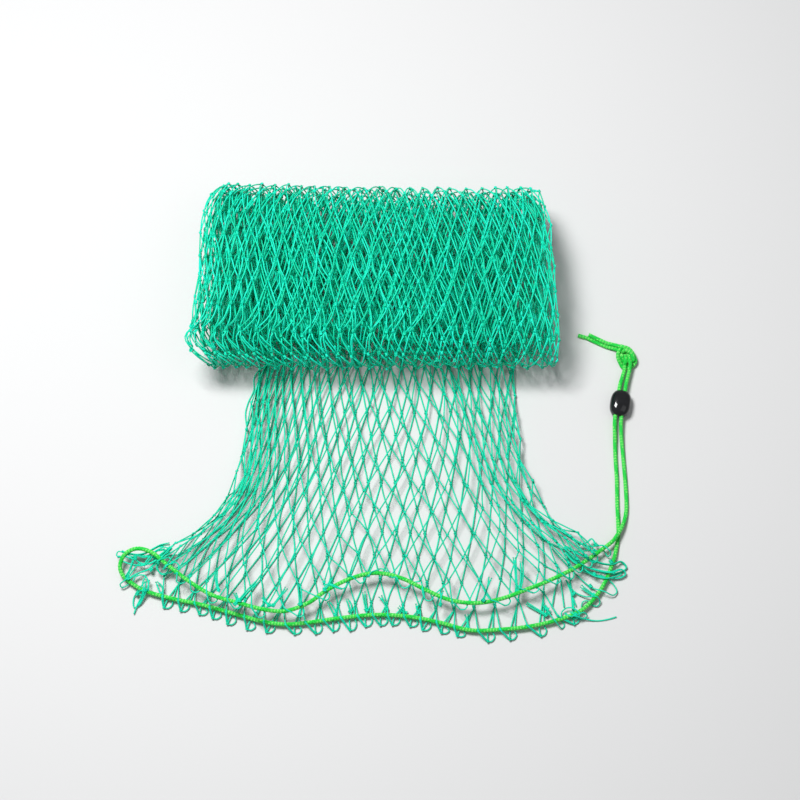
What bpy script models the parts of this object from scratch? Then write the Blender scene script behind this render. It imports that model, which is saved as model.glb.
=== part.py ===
"""A knotted net bag, rolled up from its far end, with its mouth spread open on a drawstring.

Units are metres, written as millimetres times MM. +Z is up, +X runs across the bag to the
right and +Y points away from the mouth. The origin lies on the floor under the middle of
the net.

The netting is one tube that lies flat, so it has an upper and a lower layer joined by a
fold at each side. The rolled part is a band of both layers wound inwards; the skirt is the
tube from under the roll to the mouth, cut through at twice the pitch of the real meshes.
"""
import math

import bmesh
import bpy
import numpy as np
from mathutils import Vector

MM = 0.001
GAP = 0.3 * MM                    # clearance between neighbouring pieces

# Rolled part -------------------------------------------------------------------------
BAND_THICK = 4.8 * MM             # both layers of netting with their knots
BAND_PITCH = 6.0 * MM             # how far each turn lies inside the one before
ROLL_START = -0.10                # turns; 0 is straight down, the band's end lies nearer
ROLL_TURNS = 4.2                  # turns; the winding ends flat in the middle
ROLL_STEPS = 30                   # sections in one turn
ROLL_COLUMNS = 7                  # faces across the band
ROLL_CENTRE_Y = 101.0 * MM
ROLL_HALF_DEPTH = 78.0 * MM       # middle of the band, outermost turn
ROLL_HALF_HEIGHT = 30.4 * MM
ROLL_SQUARENESS = 2.6             # 2 is an ellipse, more is squarer
FLAT_SPOT_DEPTH = 1.2 * MM        # how much the weight flattens the underside
BAND_WAVE = 0.5 * MM              # slow unevenness of the wound band

# Ends of the rolled band: turns wound, left end, right end (mm).
ROLL_ENDS = (
    ("tucked under the roll", -0.10, -91, 120),
    ("flat on the floor", 0.00, -97, 122),
    ("far side", 0.25, -112, 129),
    ("far shoulder", 0.34, -119, 135),
    ("far top", 0.42, -130, 142),
    ("top", 0.52, -130, 145),
    ("near top, left ear", 0.63, -139, 147),
    ("near shoulder", 0.69, -128, 146),
    ("near side", 0.76, -123, 145),
    ("under, second turn", 1.00, -117, 139),
    ("top, second turn", 1.50, -127, 140),
    ("under, third turn", 2.00, -120, 142),
    ("top, third turn", 2.50, -124, 134),
    ("fourth turn", 3.20, -115, 137),
    ("inner end", 4.20, -121, 131),
)

# Skirt -------------------------------------------------------------------------------
SHEET_THICK = 1.4 * MM
STRAND_WIDTH = 2.8 * MM           # one cut bar stands for the bars of two meshes
STRAND_SHARE = 0.30               # and never more than this share of a bunched mesh
MESHES_ROUND = 24                 # cut meshes round the tube, at twice the real pitch
ROWS = 6                          # rows of knots between the roll and the mouth loops
LAST_ROW_SHARE = 0.90             # share of the way to the drawstring of the last knots
LAST_ROW_AIM = 0.75               # where the bars at the mouth come from
END_MARGIN = 0.08                 # share of each edge left bare of meshes at the folds
LAST_KNOTS_BACK = 14.0 * MM       # how far inside the drawstring the last knots lie
TIP_DROP = 0.5 * MM               # how far below the drawstring's middle their tips lie
LOOP_OVERHANG = 9.5 * MM          # how far the mouth loops reach past the drawstring
BAR_AT_CORD = 0.2                 # half a bar's width where it crosses, in half columns
SMALLEST_GAP = 4.0 * MM           # a mesh with less open width than this stays uncut

# Where the skirt's two layers lie, from the roll to just inside the mouth: share of the
# way to the drawstring, then x, y at five stations from the left fold to the right fold.
STATIONS = (0.0, 0.25, 0.5, 0.75, 1.0)
SECTION_SHARE = (0.0, 0.17, 0.42, 0.63, 0.86, 1.0)
SHARED_SECTIONS = (
    ("at the roll", (-87, 47.8), (-65, 47.8), (-8, 47.8), (64, 47.8), (113, 47.8)),
    ("neck", (-91, 23.5), (-67, 22.5), (-9, 21.5), (66, 21.5), (115, 23.5)),
    ("waist", (-96, -18.5), (-69, -22.5), (-9, -23.5), (69, -22.5), (118, -18.5)),
    ("spread", (-103, -56.5), (-73, -62.5), (-9, -62.5), (72, -62.5), (127, -56.5)),
)
UPPER_FLARE = ("upper flare", (-138, -95.5), (-91, -110.5), (-6, -99.5), (81, -113.5), (158, -93.5))
LOWER_FLARE = ("lower flare", (-138, -95.5), (-91, -121.5), (-4, -119.5), (83, -130.5), (158, -93.5))

# Height of each layer's middle: share of the way, middle of the lower layer, of the upper.
LAYER_HEIGHTS = (
    ("under the roll", 0.00, 0.9, 4.0),
    ("neck", 0.17, 0.9, 6.5),
    ("waist", 0.42, 0.9, 11.0),
    ("spread", 0.63, 0.9, 13.5),
    ("mouth", 0.90, 0.9, 14.0),
)
FOLD_SHARPNESS = 16               # the layers part this sharply beside each fold
FOLD_PULL = 0.3                   # columns; the meshes beside a fold stand up on edge

# Drawstring --------------------------------------------------------------------------
CORD_DIAMETER = 3.0 * MM
CORD_CROSSING = CORD_DIAMETER / 2 + GAP + SHEET_THICK / 2 + 0.7 * MM  # bar above the cord
CORD_STEP = 10.5 * MM
CORD_LEAD = 1.0                   # mm; a short first step squares each end to the route
TAIL_STEP = 4.0 * MM

# Route round the mouth, from the upper layer's right end to the left and back (x, y, z).
UPPER_EDGE = (
    (179.0, -108.5, 7.5), (165.7, -118.5, 9.5), (153.2, -126.8, 12.0), (135.6, -135.7, 13.5),
    (120.5, -141.9, 14.0), (101.0, -149.2, 14.0), (82.4, -152.6, 14.0), (62.3, -150.3, 14.0),
    (44.5, -142.7, 14.0), (25.9, -133.5, 14.0), (7.2, -129.7, 14.0), (-10.7, -133.5, 14.0),
    (-29.2, -142.7, 14.0), (-43.2, -152.6, 14.0), (-60.2, -158.7, 14.0), (-77.3, -157.2, 14.0),
    (-96.0, -152.2, 14.0), (-114.8, -146.5, 14.0), (-131.5, -136.6, 14.0),
    (-150.8, -121.8, 13.5), (-161.8, -113.2, 13.0), (-172.6, -110.2, 12.0),
    (-181.6, -114.0, 10.5), (-185.3, -121.9, 8.0),
)
LOWER_EDGE = (
    (-183.7, -128.5, 6.5), (-177.6, -134.2, 5.2), (-166.9, -140.6, 4.7), (-147.9, -146.3, 4.5),
    (-123.0, -151.7, 4.5), (-95.8, -159.3, 4.5), (-77.8, -164.3, 4.5), (-60.6, -166.6, 4.5),
    (-42.0, -165.0, 4.5), (-18.2, -161.6, 4.5), (6.5, -159.3, 4.5), (32.6, -160.8, 4.5),
    (55.7, -165.4, 4.5), (77.3, -171.0, 4.5), (99.6, -170.5, 4.5), (122.0, -168.1, 4.5),
    (145.3, -162.4, 4.5), (161.2, -155.5, 4.5), (172.8, -144.0, 4.5), (180.0, -132.4, 4.5),
    (184.5, -121.6, 4.5),
)
# Free strands, from the mouth through the stopper to the knot (x, y, z).
UPPER_STRAND = (
    (185.9, -102.9, 7.0), (190.7, -96.2, 5.9), (194.1, -90.0, 4.4), (196.8, -82.0, 2.6),
    (198.0, -73.0, 1.8), (197.8, -52.9, 1.7), (196.9, -32.8, 2.0), (196.0, -17.8, 4.0),
    (196.2, -5.6, 5.8), (198.6, 8.4, 5.8), (201.0, 22.5, 5.8), (202.9, 30.2, 5.5),
    (204.4, 35.6, 5.5), (205.3, 40.4, 6.2),
)
LOWER_STRAND = (
    (187.3, -113.9, 3.0), (189.5, -104.6, 1.7), (190.9, -96.7, 1.6), (191.1, -88.0, 1.6),
    (191.0, -72.9, 1.6), (191.4, -52.9, 1.7), (191.0, -32.8, 2.0), (191.0, -17.8, 4.0),
    (191.3, -5.6, 5.8), (193.8, 8.4, 5.8), (196.3, 22.5, 5.8), (198.7, 30.2, 5.3),
    (200.4, 35.6, 4.4), (201.2, 40.4, 3.3),
)

# Stopper: a two-hole bead that slides on both strands.
STOPPER_CENTRE = (196.2, 8.4, 6.0)
STOPPER_HALF_SIZES = (8.0, 10.0, 6.0)
STOPPER_SQUARENESS = 2.6
STRAIGHT_RUN = 15.0               # each side of the stopper's middle, along Y
STOPPER_TURN = -10.2              # degrees about +Z, along the strands
HOLE_DIAMETER = CORD_DIAMETER + 2 * GAP + 0.4 * MM

# Knot: an overhand knot in both strands, seen as one fused form, and its two tails.
KNOT_CENTRE = (203.2, 46.5, 4.9)
KNOT_LOBE = 2.1                   # mm, scale of the knot's three-lobed curve
KNOT_RISE = 2.2                   # mm, how far the curve weaves up and down
KNOT_RADIUS = 2.5 * MM            # the two strands together
KNOT_GRAIN = 1.0 * MM             # size of the fused form's facets
KNOT_SIDES = 10
TAIL_LEFT = ((199.0, 50.5, 4.4), (191.7, 54.6, 3.4), (182.6, 59.7, 2.0), (173.4, 64.0, 1.7),
             (165.6, 66.6, 1.7))
TAIL_RIGHT = ((201.0, 52.0, 5.4), (191.7, 57.0, 4.6), (182.5, 61.9, 3.6), (173.3, 66.7, 3.2))

NET_GREEN = (0.03, 0.42, 0.24)
DRAWSTRING_LIME = (0.10, 0.75, 0.10)
STOPPER_BLACK = (0.01, 0.01, 0.012)


def clear_scene():
    for item in list(bpy.data.objects):
        bpy.data.objects.remove(item, do_unlink=True)


def material(name, colour, roughness):
    made = bpy.data.materials.new(name)
    made.use_nodes = True
    shader = made.node_tree.nodes["Principled BSDF"]
    shader.inputs["Base Color"].default_value = (*colour, 1.0)
    shader.inputs["Roughness"].default_value = roughness
    shader.inputs["Metallic"].default_value = 0.0
    return made


def mesh_object(name, points, faces, surface, closed=True):
    """One object from points and faces; a closed one has its faces turned outwards."""
    mesh = bpy.data.meshes.new(name)
    mesh.from_pydata([tuple(point) for point in points], [], faces)
    if closed:
        shell = bmesh.new()
        shell.from_mesh(mesh)
        bmesh.ops.recalc_face_normals(shell, faces=shell.faces)
        shell.to_mesh(mesh)
        shell.free()
    mesh.shade_smooth()
    mesh.set_sharp_from_angle(angle=math.radians(50))
    made = bpy.data.objects.new(name, mesh)
    bpy.context.scene.collection.objects.link(made)
    made.data.materials.append(surface)
    return made


def smooth(keys, values, at):
    """Read a smooth curve through rows of values: cubic Hermite with central slopes."""
    keys = np.asarray(keys, float)
    values = np.asarray(values, float)
    slopes = np.gradient(values, keys, axis=0)
    row = int(np.clip(np.searchsorted(keys, at, side="right") - 1, 0, len(keys) - 2))
    step = keys[row + 1] - keys[row]
    part = (at - keys[row]) / step
    ahead = part * part * (3 - 2 * part)
    leave = part * (1 - part) ** 2 * step
    arrive = part * part * (part - 1) * step
    start, end = values[row], values[row + 1]
    return start * (1 - ahead) + end * ahead + slopes[row] * leave + slopes[row + 1] * arrive


def arc_keys(points):
    """Distance along a list of points, from 0."""
    steps = np.linalg.norm(np.diff(points, axis=0), axis=1)
    return np.concatenate([[0.0], np.cumsum(steps)])


def route_point(route, share):
    """Point at a share of the length of a smooth curve through a route's points (mm)."""
    keys = arc_keys(np.asarray(route, float))
    return smooth(keys, route, share * keys[-1])


# Rolled part -------------------------------------------------------------------------

def rounded(angle, squareness):
    """Cosine and sine of a superellipse."""
    cos, sin = math.cos(angle), math.sin(angle)
    power = 2 / squareness
    return math.copysign(abs(cos) ** power, cos), math.copysign(abs(sin) ** power, sin)


def band_point(turn, across):
    """Middle of the wound band after so many turns, at a share of its width."""
    inset = BAND_PITCH * turn
    depth = ROLL_HALF_DEPTH - inset
    height = ROLL_HALF_HEIGHT - inset
    cos, sin = rounded(2 * math.pi * turn - math.pi / 2, ROLL_SQUARENESS)
    lowest = BAND_THICK / 2 + inset
    middle = ROLL_HALF_HEIGHT + BAND_THICK / 2 - FLAT_SPOT_DEPTH
    turns, left, right = zip(*[row[1:] for row in ROLL_ENDS])
    ends = smooth(turns, np.column_stack([left, right]), turn) * MM
    x = ends[0] + (ends[1] - ends[0]) * across
    raised = max(0.0, min(1.0, sin + 0.6))
    wave = BAND_WAVE * raised * math.sin(5.0 * across * math.pi)
    return Vector((x, ROLL_CENTRE_Y + depth * cos, max(lowest, middle + height * sin + wave)))


def net_roll(surface):
    """The wound form: one band rolled inwards from the skirt to the middle."""
    count = round((ROLL_TURNS - ROLL_START) * ROLL_STEPS)
    turns = [ROLL_START + (ROLL_TURNS - ROLL_START) * i / count for i in range(count + 1)]
    shares = [j / ROLL_COLUMNS for j in range(ROLL_COLUMNS + 1)]
    points = []
    for side in (-1, 1):
        for turn in turns:
            for share in shares:
                middle = band_point(turn, share)
                along = band_point(turn + 0.004, share) - band_point(turn - 0.004, share)
                outward = Vector((0.0, along.z, -along.y)).normalized()
                spot = middle + outward * side * BAND_THICK / 2
                points.append(Vector((spot.x, spot.y, max(0.0, spot.z))))
    width = len(shares)
    layer = len(turns) * width
    faces = []
    for i in range(count):
        for j in range(ROLL_COLUMNS):
            a = i * width + j
            faces.append((a, a + 1, a + width + 1, a + width))
            faces.append((layer + a, layer + a + width, layer + a + width + 1, layer + a + 1))
    rim = [j for j in range(width)]
    rim += [i * width + ROLL_COLUMNS for i in range(1, count + 1)]
    rim += [count * width + j for j in range(ROLL_COLUMNS - 1, -1, -1)]
    rim += [i * width for i in range(count - 1, 0, -1)]
    for here, there in zip(rim, rim[1:] + rim[:1]):
        faces.append((here, layer + here, layer + there, there))
    return mesh_object("net_roll", points, faces, surface)


# Skirt -------------------------------------------------------------------------------

def layer_height(side, way, across):
    """Height of a layer's middle: apart between the folds, together at each fold."""
    shares, lower, upper = zip(*[row[1:] for row in LAYER_HEIGHTS])
    flat, raised = smooth(shares, np.column_stack([lower, upper]), min(way, shares[-1])) * MM
    parted = math.sqrt(max(0.0, 1 - abs(2 * across - 1) ** FOLD_SHARPNESS))
    fold = (flat + raised) / 2
    return fold + ((raised if side == "upper" else flat) - fold) * parted


def pulled(across):
    """Share across the plan, with the first half column drawn in against its fold."""
    half = MESHES_ROUND / 2
    beside = min(across, 1 - across) * half
    shift = FOLD_PULL * math.sin(math.pi * min(beside, 1.0)) / half
    return across - shift if across < 0.5 else across + shift


def layer_point(side, way, column):
    """Point of a layer at a share of the way to the drawstring and a column from the left."""
    height = layer_height(side, way, column / (MESHES_ROUND / 2))
    across = pulled(column / (MESHES_ROUND / 2))
    flare = UPPER_FLARE if side == "upper" else LOWER_FLARE
    rows = [smooth(STATIONS, row[1:], across) for row in (*SHARED_SECTIONS, flare)]
    if side == "upper":
        edge = route_point(UPPER_EDGE, 1 - across)
    else:
        edge = route_point((UPPER_EDGE[-1], *LOWER_EDGE), across)
    rows.append(edge[:2])
    spot = smooth(SECTION_SHARE, np.array(rows), min(way, 1.0)) * MM
    return Vector((spot[0], spot[1], height))


def tube_point(way, column):
    """Point of the flattened tube; columns run over the upper layer, then back below."""
    column %= MESHES_ROUND
    half = MESHES_ROUND / 2
    if column in (0, half):
        return (layer_point("upper", way, column) + layer_point("lower", way, column)) / 2
    if column < half:
        return layer_point("upper", way, column)
    return layer_point("lower", way, MESHES_ROUND - column)


def edge_point(column):
    """Point of the drawstring where a column of the tube crosses it."""
    column %= MESHES_ROUND
    half = MESHES_ROUND / 2
    across = column / half if column <= half else 2 - column / half
    share = END_MARGIN + (1 - 2 * END_MARGIN) * across
    if column <= half:
        return Vector(route_point(UPPER_EDGE, 1 - share)) * MM
    return Vector(route_point((UPPER_EDGE[-1], *LOWER_EDGE), share)) * MM


def last_knot(column):
    """Knot of the last row, a little inside the drawstring, or inside both at a fold."""
    edges = [edge_point(column)]
    if column % (MESHES_ROUND / 2) == 0:
        edges = [edge_point(column + 1e-6), edge_point(column - 1e-6)]
    edge = sum(edges, Vector()) / len(edges)
    inward = tube_point(LAST_ROW_AIM, column) - edge
    inward = Vector((inward.x, inward.y, 0.0)).normalized()
    spot = edge + inward * (LAST_KNOTS_BACK + (edge - edges[0]).length)
    return Vector((spot.x, spot.y, tube_point(LAST_ROW_SHARE, column).z))


def row_share(row):
    """Share of the way to the drawstring of a row of knots."""
    return LAST_ROW_SHARE * row / (ROWS - 1)


def knot_point(row, column):
    """Place of a knot; those of the last row are the tips of the mouth's loops."""
    if row < ROWS - 1:
        return tube_point(row_share(row), column)
    if row < ROWS:
        return last_knot(column)
    edge = edge_point(column)
    inside = last_knot(column)
    outward = Vector((edge.x - inside.x, edge.y - inside.y, 0.0)).normalized()
    tip = edge + outward * LOOP_OVERHANG
    return Vector((tip.x, tip.y, edge.z - TIP_DROP))


def bar_middle(row, column, other, beside=None):
    """Middle of a bar from a knot to one in the next row; at the mouth it hugs the cord."""
    if row + 1 < ROWS:
        return (knot_point(row, column) + knot_point(row + 1, other)) / 2
    over = 1 if other > column else -1
    crossing = edge_point((column + other) / 2 if beside is None else beside)
    return crossing + Vector((0.0, 0.0, over * CORD_CROSSING))


def shrink(outline):
    """Inner outline of a mesh, half a bar's width in, or None where it stays uncut."""
    loop = [place(key) for key in outline]
    centre = sum(loop, Vector()) / len(loop)
    edges = zip(loop, loop[1:] + loop[:1])
    reach = min((a - centre).cross(b - centre).length / (b - a).length for a, b in edges)
    bar = min(STRAND_WIDTH, STRAND_SHARE * 2 * reach)
    if 2 * reach - bar < SMALLEST_GAP:
        return None
    keep = 1 - bar / 2 / reach
    inner = [centre + (point - centre) * keep for point in loop]
    if outline[2][0] == ROWS:
        inner = [Vector((new.x, new.y, old.z)) for new, old in zip(inner, loop)]
        for k in (1, 3):
            row, column, other = outline[k][1:]
            beside = column + (other - column) * (0.5 + 0.5 * BAR_AT_CORD)
            inner[k] = inner_face(bar_middle(row, column, other, beside), beside)
    return inner


def mesh_outlines():
    """Keys of each mesh's corners and bar middles, in order round it."""
    for row in range(ROWS):
        shift = 0.5 * ((row + 1) % 2)
        for i in range(MESHES_ROUND):
            left = (row, i + shift)
            right = (row, i + 1 + shift)
            centre = i + 0.5 + shift
            below = (row + 1, centre)
            outline = [left, ("bar", *left, centre), below, ("bar", *right, centre), right]
            if row:
                above = (row - 1, centre)
                outline += [("bar", *above, right[1]), above, ("bar", *above, left[1])]
            yield outline


def inner_face(middle, column):
    """Point on the sheet's inner face, half its thickness in from its middle."""
    column %= MESHES_ROUND
    half = MESHES_ROUND / 2
    inward = {True: Vector((0, 0, -1)), False: Vector((0, 0, 1))}[column < half]
    if column % half == 0:
        inward = Vector((1 if column == 0 else -1, 0, 0))
    return middle + inward * SHEET_THICK / 2


def place(key):
    """Place of a knot or of a bar's middle, on the sheet's inner face."""
    if key[0] == "bar":
        return inner_face(bar_middle(*key[1:]), (key[2] + key[3]) / 2)
    return inner_face(knot_point(*key), key[1])


def wrapped(key):
    """The same key for the same place all round the tube."""
    start = 1 if key[0] == "bar" else 0
    shift = MESHES_ROUND * (key[start + 1] // MESHES_ROUND)
    columns = tuple(value - shift for value in key[start + 1:])
    return (*key[:start + 1], *columns)


def net_skirt(surface):
    """The flattened tube, with every mesh that is wide enough cut through."""
    points, faces, index = [], [], {}

    def vertex(key):
        key = wrapped(key)
        if key not in index:
            index[key] = len(points)
            points.append(place(key))
        return index[key]

    for outline in mesh_outlines():
        outer = [vertex(key) for key in outline]
        inner = shrink(outline)
        if inner is None:
            faces.append(outer)
            continue
        first = len(points)
        points.extend(inner)
        for k in range(len(outer)):
            after = (k + 1) % len(outer)
            faces.append((outer[k], outer[after], first + after, first + k))
    made = mesh_object("net_skirt", points, faces, surface, closed=False)
    sheet = made.modifiers.new("sheet", "SOLIDIFY")
    sheet.thickness = SHEET_THICK
    sheet.offset = 1.0
    return made


# Drawstring, stopper and knot ----------------------------------------------------------

def cord_points(route, step, first=0, last=None, trim=0.0):
    """Points at an even step along a smooth curve through a route's points (metres)."""
    keys = arc_keys(np.asarray(route, float))
    start = keys[first] + trim / MM
    end = keys[-1 if last is None else last] - trim / MM
    count = max(2, round((end - start) * MM / step))
    wanted = np.linspace(start, end, count + 1)
    wanted = np.concatenate([[start, start + CORD_LEAD], wanted[1:-1], [end - CORD_LEAD, end]])
    return np.array([smooth(keys, route, key) for key in wanted]) * MM


def cord(name, points, surface):
    """A round cord with flat ends along a list of points in metres."""
    curve = bpy.data.curves.new(name, "CURVE")
    curve.dimensions = "3D"
    curve.bevel_depth = CORD_DIAMETER / 2
    curve.bevel_resolution = 2
    curve.use_fill_caps = True
    line = curve.splines.new("POLY")
    line.points.add(len(points) - 1)
    for spot, point in zip(line.points, points):
        spot.co = (*point, 1.0)
    made = bpy.data.objects.new(name, curve)
    bpy.context.scene.collection.objects.link(made)
    curve.materials.append(surface)
    return made


def drawstring(surface):
    """The cord in three stretches: the one held by the mouth and the two free strands."""
    route = (*UPPER_STRAND[::-1], *UPPER_EDGE, *LOWER_EDGE, *LOWER_STRAND)
    leaves = len(UPPER_STRAND)
    returns = len(route) - len(LOWER_STRAND) - 1
    stretches = (
        ("drawstring_strand_upper", 0, leaves),
        ("drawstring_mouth", leaves, returns),
        ("drawstring_strand_lower", returns, len(route) - 1),
    )
    for name, first, last in stretches:
        cord(name, cord_points(route, CORD_STEP, first, last, GAP / 2), surface)


def cord_stopper(surface):
    """A glossy bead with a hole for each strand, flat where it rests."""
    rings, sides = 14, 24
    half = Vector(STOPPER_HALF_SIZES) * MM
    points = []
    for i in range(1, rings):
        ring_cos, ring_sin = rounded(math.pi * i / rings - math.pi / 2, STOPPER_SQUARENESS)
        for k in range(sides):
            cos, sin = rounded(2 * math.pi * k / sides, STOPPER_SQUARENESS)
            spot = Vector((half.x * ring_cos * cos, half.y * ring_sin, half.z * ring_cos * sin))
            spot.z = max(spot.z, -half.z * 0.97)
            points.append(spot)
    poles = len(points)
    points += [Vector((0, -half.y, 0)), Vector((0, half.y, 0))]
    faces = []
    for i in range(rings - 2):
        for k in range(sides):
            after = (k + 1) % sides
            a, b = i * sides, (i + 1) * sides
            faces.append((a + k, a + after, b + after, b + k))
    last = (rings - 2) * sides
    for k in range(sides):
        after = (k + 1) % sides
        faces.append((poles, after, k))
        faces.append((poles + 1, last + k, last + after))
    made = mesh_object("cord_stopper", points, faces, surface)
    made.location = Vector(STOPPER_CENTRE) * MM
    made.location.z = half.z * 0.97
    made.rotation_euler.z = math.radians(STOPPER_TURN)
    for name, route in (("upper", UPPER_STRAND), ("lower", LOWER_STRAND)):
        hole = strand_hole(name, route)
        cut = made.modifiers.new(f"hole_{name}", "BOOLEAN")
        cut.operation = "DIFFERENCE"
        cut.object = hole
    return made


def strand_hole(name, route):
    """A cutter along the straight run of a strand through the stopper."""
    inside = [Vector(p) * MM for p in route if abs(p[1] - STOPPER_CENTRE[1]) < STRAIGHT_RUN]
    start, end = inside[0], inside[-1]
    along = (end - start).normalized()
    bpy.ops.mesh.primitive_cylinder_add(
        vertices=16, radius=HOLE_DIAMETER / 2, depth=(end - start).length + 8 * MM,
        location=(start + end) / 2, rotation=along.to_track_quat("Z", "Y").to_euler(),
    )
    cutter = bpy.context.object
    cutter.name = f"cutter_{name}"
    cutter.hide_render = True
    cutter.display_type = "WIRE"
    return cutter


def knot_curve(share):
    """Three-lobed curve of an overhand knot, opened towards the strands (mm)."""
    angle = 2 * math.pi * (0.06 + 0.88 * share) + math.pi
    x = math.sin(angle) + 2 * math.sin(2 * angle)
    y = math.cos(angle) - 2 * math.cos(2 * angle)
    z = -math.sin(3 * angle)
    spot = Vector((x * KNOT_LOBE, y * KNOT_LOBE, z * KNOT_RISE))
    return Vector(KNOT_CENTRE) + spot


def tube(points, radius, sides):
    """A closed tube of a shell mesh, as point and face lists."""
    rings, faces = [], []
    for i, point in enumerate(points):
        along = points[min(i + 1, len(points) - 1)] - points[max(i - 1, 0)]
        side = along.cross(Vector((0, 0, 1)))
        if side.length < 1e-9:
            side = Vector((1, 0, 0))
        side.normalize()
        up = side.cross(along).normalized()
        for k in range(sides):
            turn = 2 * math.pi * k / sides
            rings.append(point + (side * math.cos(turn) + up * math.sin(turn)) * radius)
    for i in range(len(points) - 1):
        for k in range(sides):
            after = (k + 1) % sides
            a, b = i * sides, (i + 1) * sides
            faces.append((a + k, a + after, b + after, b + k))
    faces.append(tuple(range(sides))[::-1])
    faces.append(tuple(range((len(points) - 1) * sides, len(points) * sides)))
    return rings, faces


def drawstring_knot(surface):
    """The knot and its tails, fused into one form."""
    parts = [([knot_curve(k / 40) * MM for k in range(41)], KNOT_RADIUS)]
    for tail in (TAIL_LEFT, TAIL_RIGHT):
        parts.append(([Vector(p) for p in cord_points(tail, TAIL_STEP)], CORD_DIAMETER / 2))
    points, faces = [], []
    for line, radius in parts:
        rings, skin = tube(line, radius, KNOT_SIDES)
        faces += [tuple(k + len(points) for k in face) for face in skin]
        points += rings
    made = mesh_object("drawstring_knot", points, faces, surface)
    fuse = made.modifiers.new("fuse", "REMESH")
    fuse.mode = "VOXEL"
    fuse.voxel_size = KNOT_GRAIN
    thin = made.modifiers.new("thin", "DECIMATE")
    thin.ratio = 0.5
    return made


def main():
    clear_scene()
    green = material("net_twine", NET_GREEN, 0.55)
    lime = material("drawstring_braid", DRAWSTRING_LIME, 0.5)
    black = material("stopper_plastic", STOPPER_BLACK, 0.2)
    net_roll(green)
    net_skirt(green)
    drawstring(lime)
    cord_stopper(black)
    drawstring_knot(lime)


main()
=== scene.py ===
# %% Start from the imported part
import math

import bpy
import numpy as np
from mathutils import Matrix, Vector


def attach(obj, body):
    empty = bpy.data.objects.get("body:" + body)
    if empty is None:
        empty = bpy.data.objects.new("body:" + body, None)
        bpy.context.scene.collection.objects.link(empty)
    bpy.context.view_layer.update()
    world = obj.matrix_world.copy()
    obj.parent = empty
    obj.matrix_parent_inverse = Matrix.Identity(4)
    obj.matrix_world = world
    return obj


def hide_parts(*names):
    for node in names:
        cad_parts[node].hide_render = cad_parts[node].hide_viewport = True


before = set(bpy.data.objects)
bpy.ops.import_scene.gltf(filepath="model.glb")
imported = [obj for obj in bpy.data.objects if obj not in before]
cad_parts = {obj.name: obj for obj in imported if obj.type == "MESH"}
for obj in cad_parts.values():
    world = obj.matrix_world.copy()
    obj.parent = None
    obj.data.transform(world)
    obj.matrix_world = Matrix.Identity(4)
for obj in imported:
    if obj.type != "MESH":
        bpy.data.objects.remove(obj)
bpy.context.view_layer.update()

MM = 0.001
rng = np.random.default_rng(5)

# %% [markdown]
# # A knotted net bag, rolled up, with its mouth spread on a drawstring
#
# The real thing is one tube of netting. Twine runs in a zigzag from knot to knot, 48 meshes
# round the tube, and every bar of twine between two knots is about 20 mm long. The far end
# of the tube is wound into a flat roll. The near end lies open, with a green cord threaded
# through its last meshes, and both ends of that cord go through a bead and into a knot.
#
# The camera comes first, because everything else is judged through it. It looks down at the
# floor from 70 degrees above the horizon, with a long lens from 1.5 m away.

# %% Camera
ELEVATION = math.radians(70)
LOOKS_AT = Vector((25.1, 13.0, 0.0)) * MM
STANDS_OFF = 1.4733               # m from there


def placed(name, data):
    """A new object of the scene, made from its data."""
    made = bpy.data.objects.new(name, data)
    bpy.context.scene.collection.objects.link(made)
    return made


camera = placed("camera", bpy.data.cameras.new("camera"))
camera.data.lens = 85
camera.data.sensor_width = 36
camera.data.clip_start = 0.05
back = Vector((0.0, -math.cos(ELEVATION), math.sin(ELEVATION)))
camera.location = LOOKS_AT + back * STANDS_OFF
camera.rotation_mode = "QUATERNION"
camera.rotation_quaternion = (-back).to_track_quat("-Z", "Y")
bpy.context.scene.camera = camera
bpy.context.scene.view_settings.view_transform = "Standard"
print(f"camera {STANDS_OFF:.2f} m away, {math.degrees(ELEVATION):.0f} degrees above the floor")

# %% [markdown]
# ## Curves and tubes as whole arrays
#
# Nearly everything here is a round section carried along a path: twine, cord and knots. So
# three helpers do most of the work. One reads a smooth curve through a few known points, one
# sweeps a section along thousands of paths at once, and one turns arrays into a mesh.

# %% Smooth curves
def smooth(keys, rows, at):
    """Values on a smooth curve through rows of values, one row at each key.

    Cubic Hermite: with p the share of the way between two keys, the value is
    start (1 - 3p^2 + 2p^3) + end (3p^2 - 2p^3) + step (slope out p (1-p)^2 - slope in p^2 (1-p)),
    and the slope at a key is that of the chord between its neighbours.
    """
    keys, rows, at = (np.asarray(value, float) for value in (keys, rows, at))
    slopes = np.empty_like(rows)
    spans = (keys[2:] - keys[:-2]).reshape((-1,) + (1,) * (rows.ndim - 1))
    slopes[1:-1] = (rows[2:] - rows[:-2]) / spans
    slopes[0] = (rows[1] - rows[0]) / (keys[1] - keys[0])
    slopes[-1] = (rows[-1] - rows[-2]) / (keys[-1] - keys[-2])
    row = np.clip(np.searchsorted(keys, at, side="right") - 1, 0, len(keys) - 2)
    step = keys[row + 1] - keys[row]
    part = (at - keys[row]) / step
    shape = (len(at),) + (1,) * (rows.ndim - 1)
    step, part = step.reshape(shape), part.reshape(shape)
    ahead = part * part * (3 - 2 * part)
    leave = part * (1 - part) ** 2 * step
    arrive = part * part * (part - 1) * step
    ends = rows[row] * (1 - ahead) + rows[row + 1] * ahead
    return ends + slopes[row] * leave + slopes[row + 1] * arrive


def unit(vectors):
    """The same directions at length 1."""
    return vectors / np.maximum(np.linalg.norm(vectors, axis=-1, keepdims=True), 1e-12)


def distance_along(points):
    """Distance from the first point to each point, along the line through them."""
    steps = np.linalg.norm(np.diff(points, axis=0), axis=1)
    return np.concatenate([[0.0], np.cumsum(steps)])


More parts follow.
